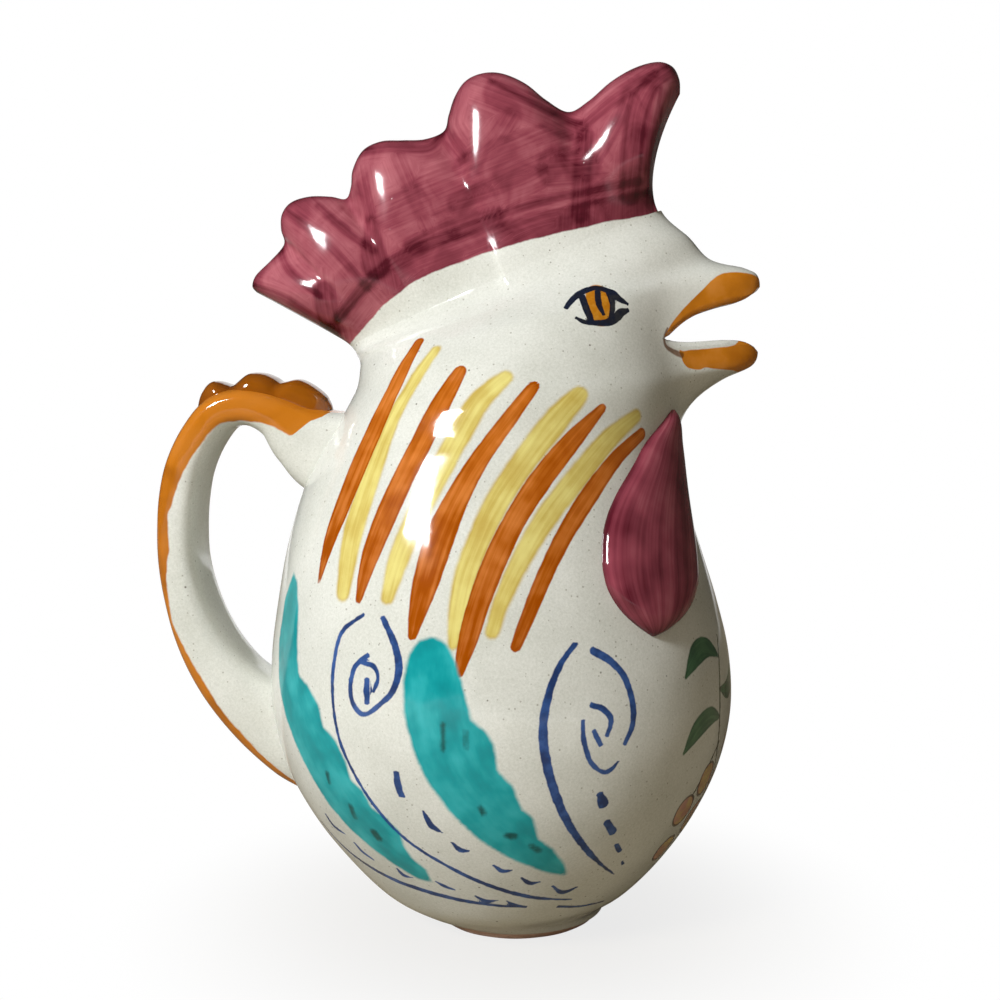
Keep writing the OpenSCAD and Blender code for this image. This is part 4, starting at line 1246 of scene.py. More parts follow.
def handle_mesh(form, material):
    """The strap, thick at both roots, swept along its path by geometry nodes and made a plain mesh."""
    places = np.linspace(0, len(STRAP_SHARES) - 1, 260)
    rows = form.strap_rows(places)
    path = bpy.data.curves.new("strap_path", "CURVE")
    path.dimensions = "3D"
    spline = path.splines.new("POLY")
    spline.points.add(len(rows) - 1)
    for point, (x, z, half) in zip(spline.points, rows):
        point.co = (x, 0, z, 1)
        point.radius = half
    holder = bpy.data.objects.new("strap_path", path)
    bpy.context.scene.collection.objects.link(holder)
    tree = handle_tree()
    modifier = holder.modifiers.new("Strap Sweep", "NODES")
    modifier.node_group = tree
    for item in tree.interface.items_tree:
        if item.in_out == "INPUT" and item.name == "Width":
            modifier[item.identifier] = form.sizes.strap_width
        if item.in_out == "INPUT" and item.name == "Material":
            modifier[item.identifier] = material
    bpy.context.view_layer.update()
    graph = bpy.context.evaluated_depsgraph_get()
    mesh = bpy.data.meshes.new_from_object(holder.evaluated_get(graph))
    bpy.data.objects.remove(holder)
    work = bmesh.new()
    work.from_mesh(mesh)
    bmesh.ops.remove_doubles(work, verts=work.verts, dist=0.002 * MM)
    bmesh.ops.recalc_face_normals(work, faces=work.faces)
    work.to_mesh(mesh)
    work.free()
    return mesh


def paint_handle(form, mesh):
    """How far outside the strap's ochre a point lies."""
    p = positions(mesh)
    places = np.linspace(0, len(STRAP_SHARES) - 1, 500)
    rows = form.strap_rows(places)
    track = rows[:, :2]
    heading = np.gradient(track, axis=0)
    heading /= np.linalg.norm(heading, axis=1, keepdims=True)
    distance = np.linalg.norm(p[:, None, [0, 2]] - track[None], axis=2)
    nearest = distance.argmin(1)
    offset = p[:, [0, 2]] - track[nearest]
    out = offset[:, 0] * heading[nearest, 1] - offset[:, 1] * heading[nearest, 0]
    line = np.array(STRAP_PAINT_LINE)
    near = np.interp(places[nearest], line[:, 0], line[:, 1])
    limit = near + (0.1 - near) * ease(0.5 + p[:, 1] / form.sizes.strap_width)
    write_numbers(mesh, "amber", (limit - out / rows[nearest, 2]) * rows[nearest, 2])


def foot_mesh(form):
    """The bare foot: a turned disc with a soft edge, a little uneven."""
    sizes = form.sizes
    r = sizes.foot_width / 2
    h = sizes.foot_height
    profile = [
        (r - 0.8 * MM, 0), (r - 0.3 * MM, 0.06 * MM), (r - 0.02 * MM, 0.35 * MM), (r + 0.3 * h, 0.6 * h),
        (r + 0.5 * h, h)]
    turn = np.radians(np.arange(0, 360, 1.5))
    rings = []
    for radius, z in profile:
        wobble = radius + 0.12 * MM * np.sin(3 * turn + 1) + 0.07 * MM * np.sin(11 * turn)
        rings.append(np.stack([wobble * np.cos(turn), wobble * np.sin(turn), np.full(len(turn), z)], -1))
    sheets = Sheets()
    sheets.grid(np.array(rings), closed=True, caps=(True, True))
    return sheets.mesh("foot")


def add(tree, kind, links=None, **settings):
    """Adds one node with its settings, values and links. A node as a value gives its first output."""
    node = tree.nodes.new(kind)
    for name, value in settings.items():
        setattr(node, name, value)
    for socket, value in (links or {}).items():
        target = node.inputs[socket]
        if isinstance(value, bpy.types.Node):
            value = value.outputs[0]
        if isinstance(value, bpy.types.NodeSocket):
            tree.links.new(value, target)
        else:
            target.default_value = value
    return node


def rgba(colour):
    """A linear colour with full alpha."""
    return (*colour[:3], 1.0)


def new_finish(name):
    """An empty material with its tree and its shader."""
    material = bpy.data.materials.new(name)
    material.use_nodes = True
    tree = material.node_tree
    tree.nodes.clear()
    shader = add(tree, "ShaderNodeBsdfPrincipled")
    add(tree, "ShaderNodeOutputMaterial", {"Surface": shader})
    return material, tree, shader


def inside_of(tree, field, soft, waver=0.0, size=3.0, seed=0.0):
    """1 inside a painted shape and 0 outside, from a distance attribute, with a hand-drawn edge."""
    value = add(tree, "ShaderNodeAttribute", attribute_name=field).outputs["Fac"]
    if waver:
        spot = add(tree, "ShaderNodeTexCoord").outputs["Object"]
        wave = add(
            tree, "ShaderNodeTexNoise", {"Vector": spot, "Scale": 1 / (size * MM), "W": seed},
            noise_dimensions="4D")
        shift = add(tree, "ShaderNodeMath", {0: wave, 1: 0.5}, operation="SUBTRACT")
        value = add(
            tree, "ShaderNodeMath", {0: shift, 1: 2 * waver * MM, 2: value}, operation="MULTIPLY_ADD")
    return add(
        tree, "ShaderNodeMapRange", {"Value": value, "From Min": soft * MM, "From Max": -soft * MM},
        interpolation_type="SMOOTHSTEP")


def on_line(tree, field, soft=0.2, waver=0.15):
    """1 on a thin brushed line and 0 beside it, its width a little uneven."""
    across, half, away = (
        add(tree, "ShaderNodeAttribute", attribute_name=field + part).outputs["Fac"]
        for part in ("_across", "_half", "_away"))
    spot = add(tree, "ShaderNodeTexCoord").outputs["Object"]
    wave = add(tree, "ShaderNodeTexNoise", {"Vector": spot, "Scale": 1 / (2.6 * MM)})
    shift = add(
        tree, "ShaderNodeMapRange",
        {"Value": wave, "From Min": 0.3, "From Max": 0.7, "To Min": -waver * MM, "To Max": waver * MM})
    size = add(tree, "ShaderNodeMath", {0: across}, operation="ABSOLUTE")
    past = add(tree, "ShaderNodeMath", {0: size, 1: half}, operation="SUBTRACT")
    ends = add(tree, "ShaderNodeMath", {0: away, 1: 0.35 * MM}, operation="SUBTRACT")
    value = add(tree, "ShaderNodeMath", {0: past, 1: ends}, operation="MAXIMUM")
    uneven = add(tree, "ShaderNodeMath", {0: value, 1: shift}, operation="ADD")
    return add(
        tree, "ShaderNodeMapRange", {"Value": uneven, "From Min": soft * MM, "From Max": -soft * MM},
        interpolation_type="SMOOTHSTEP")


def brushed_on(
    tree, under, light, deep, mask, grain=None, strength=1.0, fine=0.9, long=30.0, seed=0.0, contrast=1.0,
    rim=None, tail=None
):
    """One brushed colour over another: streaked along the stroke, pooled here and there and at its rim."""
    if grain:
        source = add(tree, "ShaderNodeAttribute", attribute_name=grain).outputs["Vector"]
        scale = (1 / (fine * MM), 1 / (long * MM), 1 / MM)
    else:
        source = add(tree, "ShaderNodeTexCoord").outputs["Object"]
        scale = (1 / (fine * MM),) * 3
    stretched = add(tree, "ShaderNodeMapping", {"Vector": source, "Scale": scale})
    streak = add(
        tree, "ShaderNodeTexNoise",
        {"Vector": stretched, "Scale": 1.0, "Detail": 4.0, "Roughness": 0.55, "W": seed},
        noise_dimensions="4D")
    spot = add(tree, "ShaderNodeTexCoord").outputs["Object"]
    pool = add(
        tree, "ShaderNodeTexNoise", {"Vector": spot, "Scale": 1 / (10 * MM), "W": seed + 3},
        noise_dimensions="4D")
    both = add(tree, "ShaderNodeMath", {0: streak, 1: pool}, operation="ADD")
    tone = add(
        tree, "ShaderNodeMapRange",
        {"Value": both, "From Min": 1 - 0.3 / contrast, "From Max": 1 + 0.3 / contrast},
        interpolation_type="SMOOTHSTEP")
    if rim:
        field = add(tree, "ShaderNodeAttribute", attribute_name=rim).outputs["Fac"]
        wet = add(
            tree, "ShaderNodeMapRange",
            {"Value": field, "From Min": -1.1 * MM, "From Max": -0.1 * MM, "To Max": 0.45},
            interpolation_type="SMOOTHSTEP")
        tone = add(tree, "ShaderNodeMath", {0: tone, 1: wet}, operation="ADD", use_clamp=True)
    if tail:
        run = add(tree, "ShaderNodeSeparateXYZ", {"Vector": source}).outputs["Y"]
        wet = add(
            tree, "ShaderNodeMapRange",
            {"Value": run, "From Min": tail[0] * MM, "From Max": tail[1] * MM, "To Max": 0.34})
        tone = add(tree, "ShaderNodeMath", {0: tone, 1: wet}, operation="ADD", use_clamp=True)
    colour = add(
        tree, "ShaderNodeMix", {"Factor": tone, 6: rgba(light), 7: rgba(deep)}, data_type="RGBA").outputs[2]
    cover = add(
        tree, "ShaderNodeMapRange",
        {"Value": both, "From Min": 0.7, "From Max": 1.05, "To Min": strength * 0.96, "To Max": strength})
    amount = add(tree, "ShaderNodeMath", {0: cover, 1: mask}, operation="MULTIPLY")
    return add(tree, "ShaderNodeMix", {"Factor": amount, 6: under, 7: colour}, data_type="RGBA").outputs[2]


def cream_base(tree, colours):
    """Tin glaze over red clay: grainy cream with soft clouds and dark specks where iron came through."""
    spot = add(tree, "ShaderNodeTexCoord").outputs["Object"]
    cloud = add(tree, "ShaderNodeTexNoise", {"Vector": spot, "Scale": 1 / (26 * MM), "Detail": 3.0})
    fine = add(
        tree, "ShaderNodeTexNoise",
        {"Vector": spot, "Scale": 1 / (0.75 * MM), "Detail": 3.0, "Roughness": 0.75})
    both = add(tree, "ShaderNodeMath", {0: fine, 1: 1.4, 2: cloud}, operation="MULTIPLY_ADD")
    mottle = add(tree, "ShaderNodeMapRange", {"Value": both, "From Min": 0.85, "From Max": 1.85})
    surface = add(
        tree, "ShaderNodeMix", {"Factor": mottle, 6: rgba(colours.cream), 7: rgba(colours.cream_shade)},
        data_type="RGBA").outputs[2]
    for size, share, most, amount, code in SPECKS:
        speck = add(tree, "ShaderNodeTexVoronoi", {"Vector": spot, "Scale": 1 / (size * MM)})
        kind = add(tree, "ShaderNodeSeparateColor", {"Color": speck.outputs["Color"]})
        limit = add(
            tree, "ShaderNodeMapRange", {"Value": kind, "From Min": share, "From Max": 1.0, "To Max": most})
        past = add(tree, "ShaderNodeMath", {0: limit, 1: speck.outputs["Distance"]}, operation="SUBTRACT")
        dark = add(
            tree, "ShaderNodeMapRange",
            {"Value": past, "From Min": -0.02, "From Max": 0.05, "To Max": amount})
        surface = add(
            tree, "ShaderNodeMix", {"Factor": dark, 6: surface, 7: rgba(linear(code))},
            data_type="RGBA").outputs[2]
    return surface


def glossy_skin(tree, shader, colour, dimple=0.25, roughness=0.09):
    """Fired gloss over a colour: faint waves from dipping, a fine orange peel and a few pinholes."""
    spot = add(tree, "ShaderNodeTexCoord").outputs["Object"]
    wave = add(tree, "ShaderNodeTexNoise", {"Vector": spot, "Scale": 1 / (14 * MM), "Detail": 1.0})
    peel = add(tree, "ShaderNodeTexNoise", {"Vector": spot, "Scale": 1 / (1.6 * MM)})
    cells = add(tree, "ShaderNodeTexVoronoi", {"Vector": spot, "Scale": 1 / (7 * MM)})
    pin = add(
        tree, "ShaderNodeMapRange",
        {"Value": cells.outputs["Distance"], "From Max": 0.055, "To Min": -1.0, "To Max": 0.0},
        interpolation_type="SMOOTHSTEP")
    low = add(tree, "ShaderNodeMath", {0: wave, 1: 2.2}, operation="MULTIPLY")
    mixed = add(tree, "ShaderNodeMath", {0: peel, 1: 0.05, 2: low}, operation="MULTIPLY_ADD")
    height = add(tree, "ShaderNodeMath", {0: pin, 1: 0.4, 2: mixed}, operation="MULTIPLY_ADD")
    bump = add(tree, "ShaderNodeBump", {"Height": height, "Strength": dimple, "Distance": 0.5 * MM})
    tree.links.new(colour, shader.inputs["Base Color"])
    tree.links.new(bump.outputs[0], shader.inputs["Normal"])
    shader.inputs["Roughness"].default_value = roughness
    shader.inputs["IOR"].default_value = 1.52


def painted_glaze(colours):
    """Painted tin glaze: the cream body with its brushed feathers, leaves, scrolls, eye and lips."""
    material, tree, shader = new_finish("painted_tin_glaze")
    surface = cream_base(tree, colours)
    rim = add(tree, "ShaderNodeAttribute", attribute_name="berries").outputs["Fac"]
    berry_rim = add(tree, "ShaderNodeMath", {0: rim, 1: 0.1 * MM, 2: 0.45 * MM}, operation="COMPARE")
    # Each coat: two colours, mask, grain, strength, brush, seed, contrast, rim and tail for brushed_on
    coats = (
        (colours.yellow, colours.yellow_deep, inside_of(tree, "yellow", 0.75, 0.4, 4.0, 1.0), "yellow_grain",
         0.9, 1.6, 34.0, 1.0, 0.9, "yellow"),
        (colours.orange, colours.orange_deep, inside_of(tree, "orange", 0.22, 0.22, 4.0, 2.0),
         "orange_grain", 1.0, 1.6, 40.0, 2.0, 0.75, "orange", (25, 85)),
        (colours.teal, colours.teal_deep, inside_of(tree, "teal", 0.8, 0.5, 3.5, 3.0), "teal_grain", 1.0,
         7.0, 22.0, 3.0, 0.65),
        (*LEAF_TOUCH, inside_of(tree, "touches", 0.7, 0.5, 2.0, 4.0), None, 0.85, 2.0, 20.0, 4.0),
        (colours.blue, colours.blue_deep, on_line(tree, "blue"), None, 0.98, 4.0, 20.0, 5.0, 1.3),
        (*SPRIG_GREEN, inside_of(tree, "sprig", 0.3, 0.2, 3.0, 6.0), "sprig_grain", 0.94, 1.2, 16.0, 6.0,
         1.0, "sprig"),
        (*STEM_GREEN, on_line(tree, "stem"), None, 0.95, 2.0, 20.0, 7.0),
        (*BERRY, inside_of(tree, "berries", 0.25, 0.2, 3.0, 8.0), None, 0.92, 4.4, 20.0, 8.0, 1.6,
         "berries"),
        (*BERRY_RIM, berry_rim, None, 0.8, 2.0, 20.0, 12.0),
        (*IRIS_AMBER, inside_of(tree, "iris", 0.2, 0.15, 2.0, 9.0), None, 1.0, 2.0, 20.0, 9.0),
        (colours.ink, INK_POOLED, on_line(tree, "ink", 0.12, 0.1), None, 1.0, 2.0, 20.0, 10.0),
        (*LIP_OCHRE, inside_of(tree, "ochre", 0.22, 0.2, 3.0, 11.0), None, 1.0, 7.0, 20.0, 11.0, 0.45),
        (*MOUTH_BROWN, on_line(tree, "mouth", 0.3, 0.1), None, 0.85, 2.0, 20.0, 13.0))
    for light, deep, mask, *brush in coats:
        light, deep = (linear(tone) if isinstance(tone, str) else tone for tone in (light, deep))
        surface = brushed_on(tree, surface, light, deep, mask, *brush)
    glossy_skin(tree, shader, surface)
    return material


def plum_ramp(tree, colours, value):
    """Manganese plum from thin and pale to pooled and dark."""
    ramp = add(tree, "ShaderNodeValToRGB", {"Fac": value})
    ramp.color_ramp.elements[0].position = 0.0
    ramp.color_ramp.elements[0].color = rgba(colours.plum_pale)
    ramp.color_ramp.elements[1].position = 1.0
    ramp.color_ramp.elements[1].color = rgba(linear(PLUM_POOLED))
    for position, colour in ((0.36, colours.plum), (0.72, colours.plum_deep)):
        ramp.color_ramp.elements.new(position).color = rgba(colour)
    return ramp.outputs["Color"]


def comb_glaze(colours):
    """Plum glaze on the comb: translucent strokes that overlap, with bristle marks and edges darker along
    the ridge.
    """
    material, tree, shader = new_finish("streaked_plum_glaze_comb")
    spot = add(tree, "ShaderNodeTexCoord").outputs["Object"]
    source = add(tree, "ShaderNodeAttribute", attribute_name="brush").outputs["Vector"]
    stretched = add(
        tree, "ShaderNodeMapping", {"Vector": source, "Scale": (1 / (22 * MM), 1 / (1.1 * MM), 1.0)})
    bristles = add(
        tree, "ShaderNodeTexNoise", {"Vector": stretched, "Scale": 1.0, "Detail": 5.0, "Roughness": 0.6})
    patch = add(
        tree, "ShaderNodeTexNoise",
        {"Vector": spot, "Scale": 1 / (12 * MM), "Detail": 3.0, "Distortion": 0.9})
    pigment = add(tree, "ShaderNodeAttribute", attribute_name="pigment").outputs["Fac"]
    rough = add(tree, "ShaderNodeMath", {0: bristles, 1: 0.5}, operation="SUBTRACT")
    uneven = add(tree, "ShaderNodeMath", {0: patch, 1: 0.5}, operation="SUBTRACT")
    total = add(tree, "ShaderNodeMath", {0: rough, 1: 0.55, 2: pigment}, operation="MULTIPLY_ADD")
    total = add(tree, "ShaderNodeMath", {0: uneven, 1: 0.75, 2: total}, operation="MULTIPLY_ADD")
    plum = plum_ramp(tree, colours, total)
    field = add(tree, "ShaderNodeAttribute", attribute_name="plum").outputs["Fac"]
    wave = add(tree, "ShaderNodeTexNoise", {"Vector": spot, "Scale": 1 / (6 * MM), "Detail": 3.0})
    edge = add(tree, "ShaderNodeMath", {0: wave, 1: 1.2 * MM, 2: field}, operation="MULTIPLY_ADD")
    mask = add(
        tree, "ShaderNodeMapRange", {"Value": edge, "From Min": 0.4 * MM, "From Max": 1.0 * MM},
        interpolation_type="SMOOTHSTEP")
    colour = add(
        tree, "ShaderNodeMix", {"Factor": mask, 6: cream_base(tree, colours), 7: plum},
        data_type="RGBA").outputs[2]
    glossy_skin(tree, shader, colour, 0.3, 0.15)
    return material


def wattle_glaze(colours):
    """Plum glaze on a wattle: long strokes downwards, with painted shade along the rim and darker towards
    the pinched foot.
    """
    material, tree, shader = new_finish("streaked_plum_glaze_wattle")
    across = add(tree, "ShaderNodeAttribute", attribute_name="across").outputs["Fac"]
    along = add(tree, "ShaderNodeAttribute", attribute_name="along").outputs["Fac"]
    vector = add(tree, "ShaderNodeCombineXYZ", {"X": across, "Y": along})
    stretched = add(tree, "ShaderNodeMapping", {"Vector": vector, "Scale": (7.0, 0.55, 1.0)})
    bristles = add(
        tree, "ShaderNodeTexNoise",
        {"Vector": stretched, "Scale": 1.0, "Detail": 6.0, "Roughness": 0.62, "Distortion": 0.25})
    spot = add(tree, "ShaderNodeTexCoord").outputs["Object"]
    patch = add(tree, "ShaderNodeTexNoise", {"Vector": spot, "Scale": 1 / (14 * MM)})
    both = add(tree, "ShaderNodeMath", {0: bristles, 1: 1.5, 2: patch}, operation="MULTIPLY_ADD")
    tone = add(
        tree, "ShaderNodeMapRange",
        {"Value": both, "From Min": 0.9, "From Max": 1.65, "To Min": 0.12, "To Max": 0.72})
    # Darker towards the pinched foot
    foot = add(
        tree, "ShaderNodeMapRange", {"Value": along, "From Min": 0.22, "From Max": 0.04, "To Max": 0.35})
    # Painted shade: the plum darkens towards both side edges, where the wattle turns away from the light
    side = add(tree, "ShaderNodeMath", {0: across}, operation="ABSOLUTE")
    rim = add(tree, "ShaderNodeMapRange", {"Value": side, "From Min": 0.86, "From Max": 1.0, "To Max": 0.3})
    total = add(tree, "ShaderNodeMath", {0: tone, 1: foot}, operation="ADD")
    total = add(tree, "ShaderNodeMath", {0: total, 1: rim}, operation="ADD")
    glossy_skin(tree, shader, plum_ramp(tree, colours, total), 0.3, 0.08)
    return material


def ochre_colour(tree, colours, seed):
    """Amber glaze, paler and browner in soft random patches."""
    spot = add(tree, "ShaderNodeTexCoord").outputs["Object"]
    patch = add(
        tree, "ShaderNodeTexNoise", {"Vector": spot, "Scale": 1 / (16 * MM), "W": seed, "Distortion": 0.4},
        noise_dimensions="4D")
    ramp = add(tree, "ShaderNodeValToRGB", {"Fac": patch})
    ramp.color_ramp.elements[0].position = 0.18
    ramp.color_ramp.elements[0].color = rgba(colours.ochre_deep)
    ramp.color_ramp.elements[1].position = 0.85
    ramp.color_ramp.elements[1].color = rgba(linear(OCHRE_THIN))
    ramp.color_ramp.elements.new(0.5).color = rgba(colours.ochre)
    return ramp.outputs["Color"]


def handle_glaze(colours):
    """The strap: ochre on its outer face and the edge towards the eye, cream on its inner face."""
    material, tree, shader = new_finish("ochre_and_cream_glaze_strap")
    mask = inside_of(tree, "amber", 0.35, 0.8, 6.0, 1.0)
    colour = add(
        tree, "ShaderNodeMix",
        {"Factor": mask, 6: cream_base(tree, colours), 7: ochre_colour(tree, colours, 1.0)},
        data_type="RGBA").outputs[2]
    glossy_skin(tree, shader, colour, 0.3, 0.09)
    return material


def crest_glaze(colours):
    """Amber glaze on the crest, brown in the dips between its lobes."""
    material, tree, shader = new_finish("amber_glaze_crest")
    lobe = add(tree, "ShaderNodeAttribute", attribute_name="lobe").outputs["Fac"]
    dip = add(
        tree, "ShaderNodeMapRange",
        {"Value": lobe, "From Min": 1.0, "From Max": 0.6, "To Min": 0.2, "To Max": 0.85})
    amber = add(
        tree, "ShaderNodeMix",
        {"Factor": 0.7, 6: ochre_colour(tree, colours, 2.0), 7: rgba(colours.ochre_deep)},
        data_type="RGBA").outputs[2]
    colour = add(
        tree, "ShaderNodeMix", {"Factor": dip, 6: amber, 7: rgba(linear(CREST_DIP))},
        data_type="RGBA").outputs[2]
    glossy_skin(tree, shader, colour, 0.3, 0.08)
    return material


def bare_clay(colours):
    """Fired red earthenware without glaze: dry, grainy and a little scuffed."""
    material, tree, shader = new_finish("bare_earthenware")
    spot = add(tree, "ShaderNodeTexCoord").outputs["Object"]
    grain = add(
        tree, "ShaderNodeTexNoise",
        {"Vector": spot, "Scale": 1 / (0.7 * MM), "Detail": 5.0, "Roughness": 0.7})
    cloud = add(tree, "ShaderNodeTexNoise", {"Vector": spot, "Scale": 1 / (9 * MM), "Detail": 3.0})
    both = add(tree, "ShaderNodeMath", {0: grain, 1: cloud}, operation="ADD")
    tone = add(tree, "ShaderNodeMapRange", {"Value": both, "From Min": 0.75, "From Max": 1.25})
    colour = add(
        tree, "ShaderNodeMix", {"Factor": tone, 6: rgba(colours.clay), 7: rgba(linear(CLAY_PALE))},
        data_type="RGBA").outputs[2]
    bump = add(tree, "ShaderNodeBump", {"Height": grain, "Strength": 0.6, "Distance": 0.25 * MM})
    tree.links.new(colour, shader.inputs["Base Color"])
    tree.links.new(bump.outputs[0], shader.inputs["Normal"])
    shader.inputs["Roughness"].default_value = 0.85
    return material


class ROOSTER_OT_body(bpy.types.Operator):
    """Builds the painted shell and the two tips of its beak"""
    bl_idname = "rooster.body"
    bl_label = "Body and Beak"

    def execute(self, context):
        form = Form(context.scene.rooster_sizes)
        shell = body_mesh(form)
        work = brushwork(form)
        refine(form, shell, work)
        paint_body(form, shell, work)
        melt_body(form, shell)
        move_to(shell, hand_made(positions(shell)))
        glaze = painted_glaze(context.scene.rooster_colours)
        for name, cut, slot, node in (
            ("body_shell", ("behind",), "cream_glaze", "body"),
            ("upper_beak_tip", ("front", "above"), "beak_glaze", "upper_beak"),
            ("lower_beak_tip", ("front", "below"), "beak_glaze", "lower_beak")
        ):
            place_piece(name, cut_piece(shell, name, beak_cut(form, *cut)), glaze, slot, node)
        bpy.data.meshes.remove(shell)
        return {"FINISHED"}


class ROOSTER_OT_comb(bpy.types.Operator):
    """Builds the five-lobed comb"""
    bl_idname = "rooster.comb"
    bl_label = "Comb"

    def execute(self, context):
        form = Form(context.scene.rooster_sizes)
        mesh = comb_mesh(form)
        paint_comb(form, mesh)
        melt_comb(form, mesh)
        move_to(mesh, hand_made(positions(mesh)))
        mesh.shade_smooth()
        use_normals(mesh, *open_normals(mesh))
        place_piece("comb_lobes", mesh, comb_glaze(context.scene.rooster_colours), "plum_glaze", "comb")
        return {"FINISHED"}


class ROOSTER_OT_wattles(bpy.types.Operator):
    """Builds the pair of wattles under the beak"""
    bl_idname = "rooster.wattles"
    bl_label = "Wattles"

    def execute(self, context):
        form = Form(context.scene.rooster_sizes)
        glaze = wattle_glaze(context.scene.rooster_colours)
        for word, side in (("right", -1), ("left", 1)):
            mesh = wattle_mesh(form, side)
            move_to(mesh, hand_made(positions(mesh)))
            place_piece(f"wattle_{word}_drop", mesh, glaze, "wattle_glaze", f"wattle_{word}")
        return {"FINISHED"}


class ROOSTER_OT_handle(bpy.types.Operator):
    """Builds the strap handle and the thumb crest on it"""
    bl_idname = "rooster.handle"
    bl_label = "Handle and Crest"

    def execute(self, context):
        form = Form(context.scene.rooster_sizes)
        glaze = handle_glaze(context.scene.rooster_colours)
        mesh = handle_mesh(form, glaze)
        paint_handle(form, mesh)
        place_piece("strap_handle", mesh, glaze, "handle_glaze", "handle")
        crest = crest_mesh(form)
        place_piece("thumb_crest", crest, crest_glaze(context.scene.rooster_colours), "ochre_glaze", "crest")
        return {"FINISHED"}


class ROOSTER_OT_foot(bpy.types.Operator):
    """Builds the bare clay foot"""
    bl_idname = "rooster.foot"
    bl_label = "Foot"

    def execute(self, context):
        form = Form(context.scene.rooster_sizes)
        place_piece(
            "bare_foot", foot_mesh(form), bare_clay(context.scene.rooster_colours), "bare_clay", "foot")
        return {"FINISHED"}


# The camera stands a little to the beak's side of square and a little above the belly
CAMERA_TURN = 3.0
CAMERA_RISE = 5.0
CAMERA_DISTANCE = 0.480
CAMERA_TARGET = 0.145
CAMERA_LENS = 52.2
CAMERA_SHIFT = (-0.017, -0.0172)


def shown_white(tree, shader, share):
    """Mixes a material with plain white by a share that depends on the kind of ray."""
    glow = add(tree, "ShaderNodeEmission", {"Color": (1, 1, 1, 1), "Strength": 1.0})
    seen = add(tree, "ShaderNodeMixShader", {0: share, 1: shader, 2: glow})
    output = next(node for node in tree.nodes if node.type == "OUTPUT_MATERIAL")
    tree.links.new(seen.outputs[0], output.inputs["Surface"])


def stage_sheet(name, corners, material):
    """One flat four-cornered sheet of the stage."""
    mesh = bpy.data.meshes.new(name)
    mesh.from_pydata(corners, [], [(0, 1, 2, 3)])
    mesh.materials.append(material)
    sheet = bpy.data.objects.new(name, mesh)
    bpy.context.scene.collection.objects.link(sheet)


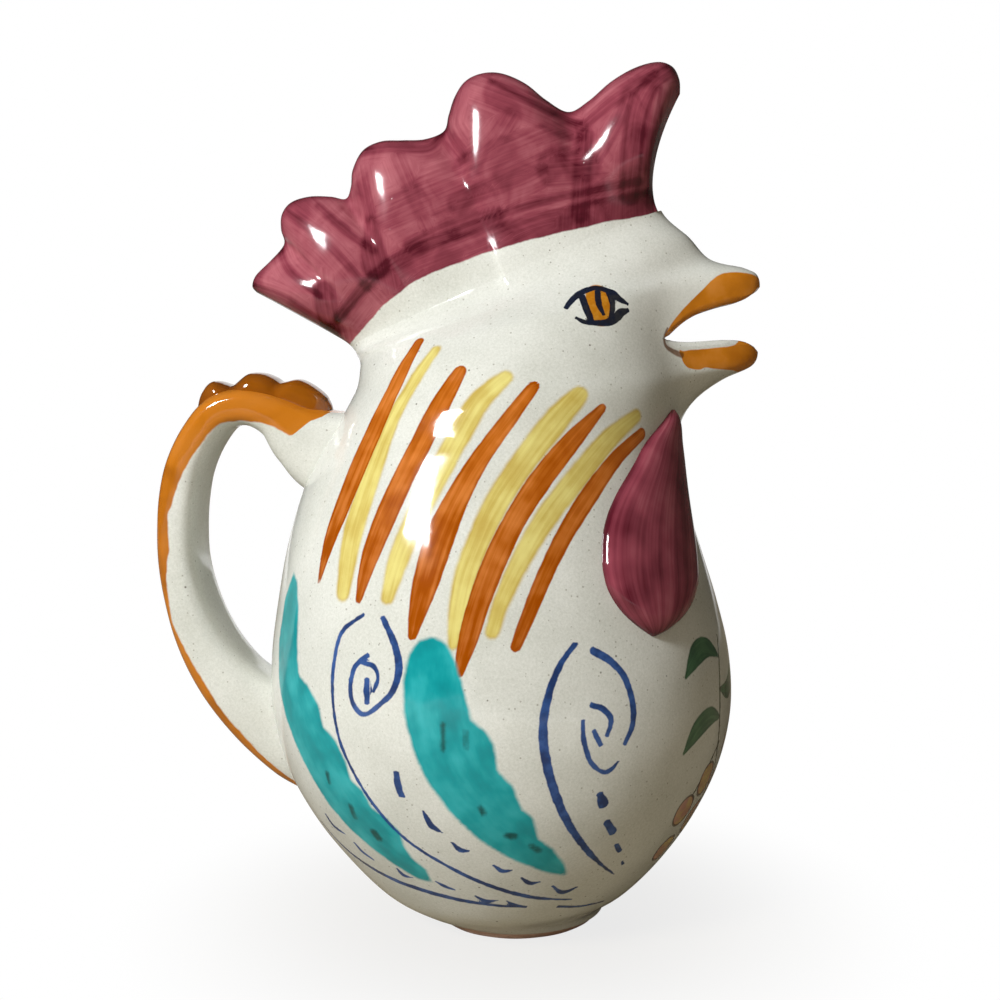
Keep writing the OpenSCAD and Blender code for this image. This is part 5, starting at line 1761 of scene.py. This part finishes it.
class ROOSTER_OT_stage(bpy.types.Operator):
    """Sets the camera, the soft lamps and the pale floor"""
    bl_idname = "rooster.stage"
    bl_label = "Stage"

    def execute(self, context):
        scene = context.scene
        turn, rise = np.radians(CAMERA_TURN), np.radians(CAMERA_RISE)
        back = Vector((np.sin(turn) * np.cos(rise), -np.cos(turn) * np.cos(rise), np.sin(rise)))
        camera = bpy.data.objects.new("camera", bpy.data.cameras.new("camera"))
        camera.data.lens = CAMERA_LENS
        camera.data.shift_x, camera.data.shift_y = CAMERA_SHIFT
        camera.data.clip_start = 0.01
        camera.location = Vector((0, 0, CAMERA_TARGET)) + back * CAMERA_DISTANCE
        camera.rotation_mode = "QUATERNION"
        camera.rotation_quaternion = (-back).to_track_quat("-Z", "Y")
        scene.collection.objects.link(camera)
        scene.camera = camera

        middle = Vector((0, 0, 0.13))
        window = Vector((-0.9, -1.12, 1.0))
        facing = (middle - window).to_track_quat("-Z", "Y")
        lamps = []
        for i in (0, 1):
            for j in (0, 1):
                place = window + facing @ Vector((0.17 * i - 0.085, 0.23 * j - 0.115, 0))
                lamps.append((f"window_pane_{i}{j}", place, (0.15, 0.21), 7.4))
        lamps.append(("fill", Vector((0.1, -1.7, 0.6)), (1.2, 1.2), 4.8))
        lamps.append(("back_fill", Vector((0.2, 1.9, 1.1)), (1.2, 1.2), 14.0))
        for name, place, (wide, tall), power in lamps:
            lamp = bpy.data.lights.new(name, "AREA")
            lamp.shape = "RECTANGLE"
            lamp.size, lamp.size_y = wide, tall
            lamp.energy = power
            lamp.color = (1.0, 0.88, 0.70) if name == "fill" else (0.96, 0.99, 1.0)
            holder = bpy.data.objects.new(name, lamp)
            holder.visible_glossy = "fill" not in name
            holder.location = place
            holder.rotation_mode = "QUATERNION"
            holder.rotation_quaternion = (middle - place).to_track_quat("-Z", "Y")
            scene.collection.objects.link(holder)

        world = bpy.data.worlds.new("pale_room")
        world.use_nodes = True
        tree = world.node_tree
        tree.nodes.clear()
        path = add(tree, "ShaderNodeLightPath")
        seen = add(
            tree, "ShaderNodeMath", {0: path.outputs["Is Camera Ray"], 1: path.outputs["Is Glossy Ray"]},
            operation="MAXIMUM")
        shown = add(
            tree, "ShaderNodeMath", {0: seen, 1: path.outputs["Is Transmission Ray"]}, operation="MAXIMUM")
        room = add(tree, "ShaderNodeBackground", {"Color": rgba(linear(ROOM_LIGHT)), "Strength": 0.5})
        white = add(tree, "ShaderNodeBackground", {"Color": (1, 1, 1, 1), "Strength": 1.0})
        mixed = add(tree, "ShaderNodeMixShader", {0: shown, 1: room, 2: white})
        add(tree, "ShaderNodeOutputWorld", {"Surface": mixed})
        scene.world = world

        self.floor()
        self.cards()
        scene.view_settings.view_transform = "Standard"
        return {"FINISHED"}

    def floor(self):
        """A pale table that keeps the shadow; the camera and distant reflections see it white."""
        far = 6.0
        material, tree, shader = new_finish("pale_table")
        shader.inputs["Base Color"].default_value = rgba(linear(TABLE_GREY))
        shader.inputs["Roughness"].default_value = 0.8
        path = add(tree, "ShaderNodeLightPath")
        spot = add(tree, "ShaderNodeTexCoord").outputs["Object"]
        away = add(tree, "ShaderNodeVectorMath", {0: spot}, operation="LENGTH").outputs["Value"]
        share = add(
            tree, "ShaderNodeMapRange", {"Value": away, "From Min": 0.03, "From Max": 0.14, "To Min": 0.8},
            interpolation_type="SMOOTHSTEP")
        near = add(
            tree, "ShaderNodeMath", {0: path.outputs["Is Camera Ray"], 1: share}, operation="MULTIPLY")
        far_share = add(
            tree, "ShaderNodeMapRange", {"Value": away, "From Min": 0.9, "From Max": 1.8},
            interpolation_type="SMOOTHSTEP")
        bounced = add(
            tree, "ShaderNodeMath",
            {0: path.outputs["Is Glossy Ray"], 1: path.outputs["Is Transmission Ray"]}, operation="MAXIMUM")
        distant = add(tree, "ShaderNodeMath", {0: bounced, 1: far_share}, operation="MULTIPLY")
        part = add(tree, "ShaderNodeMath", {0: near, 1: distant}, operation="MAXIMUM")
        shown_white(tree, shader, part)
        stage_sheet("floor", [(-far, -far, 0), (far, -far, 0), (far, far, 0), (-far, far, 0)], material)

    def cards(self):
        """Grey cards around the pitcher that deepen its edges and colours; the camera sees them white."""
        material, tree, shader = new_finish("grey_card")
        shader.inputs["Base Color"].default_value = rgba(linear(CARD_GREY))
        shader.inputs["Roughness"].default_value = 0.9
        shown_white(tree, shader, add(tree, "ShaderNodeLightPath").outputs["Is Camera Ray"])
        near_left, near_right, far_left, far_right = (-1.2, -2.1), (1.2, -2.1), (-1.0, 3.2), (0.5, 3.2)
        top = 1.7
        for name, (a, b) in (
            ("left_card", (near_left, far_left)), ("right_card", (near_right, far_right)),
            ("front_card", (near_left, near_right))
        ):
            stage_sheet(name, [(*a, 0.0), (*b, 0.0), (*b, top), (*a, top)], material)
        roof = [(*corner, top) for corner in (near_left, near_right, far_right, far_left)]
        stage_sheet("top_card", roof, material)


class ROOSTER_PT_panel(bpy.types.Panel):
    """Lists the pieces of the rooster pitcher"""
    bl_label = "Rooster Pitcher"
    bl_idname = "ROOSTER_PT_panel"
    bl_space_type = "VIEW_3D"
    bl_region_type = "UI"
    bl_category = "Rooster Pitcher"

    def draw(self, context):
        for group in (context.scene.rooster_sizes, context.scene.rooster_colours):
            for name in group.__annotations__:
                self.layout.prop(group, name)
        for operator in OPERATORS:
            self.layout.operator(operator.bl_idname)


OPERATORS = (
    ROOSTER_OT_stage, ROOSTER_OT_body, ROOSTER_OT_comb, ROOSTER_OT_wattles, ROOSTER_OT_handle,
    ROOSTER_OT_foot)
CLASSES = (RoosterSizes, RoosterColours, *OPERATORS, ROOSTER_PT_panel)


def register():
    for item in CLASSES:
        bpy.utils.register_class(item)
    bpy.types.Scene.rooster_sizes = PointerProperty(type=RoosterSizes)
    bpy.types.Scene.rooster_colours = PointerProperty(type=RoosterColours)


def unregister():
    del bpy.types.Scene.rooster_colours
    del bpy.types.Scene.rooster_sizes
    for item in reversed(CLASSES):
        bpy.utils.unregister_class(item)


def main():
    register()
    bpy.ops.rooster.stage()
    bpy.ops.rooster.body()
    bpy.ops.rooster.comb()
    bpy.ops.rooster.wattles()
    bpy.ops.rooster.handle()
    bpy.ops.rooster.foot()


if __name__ == "__main__":
    main()
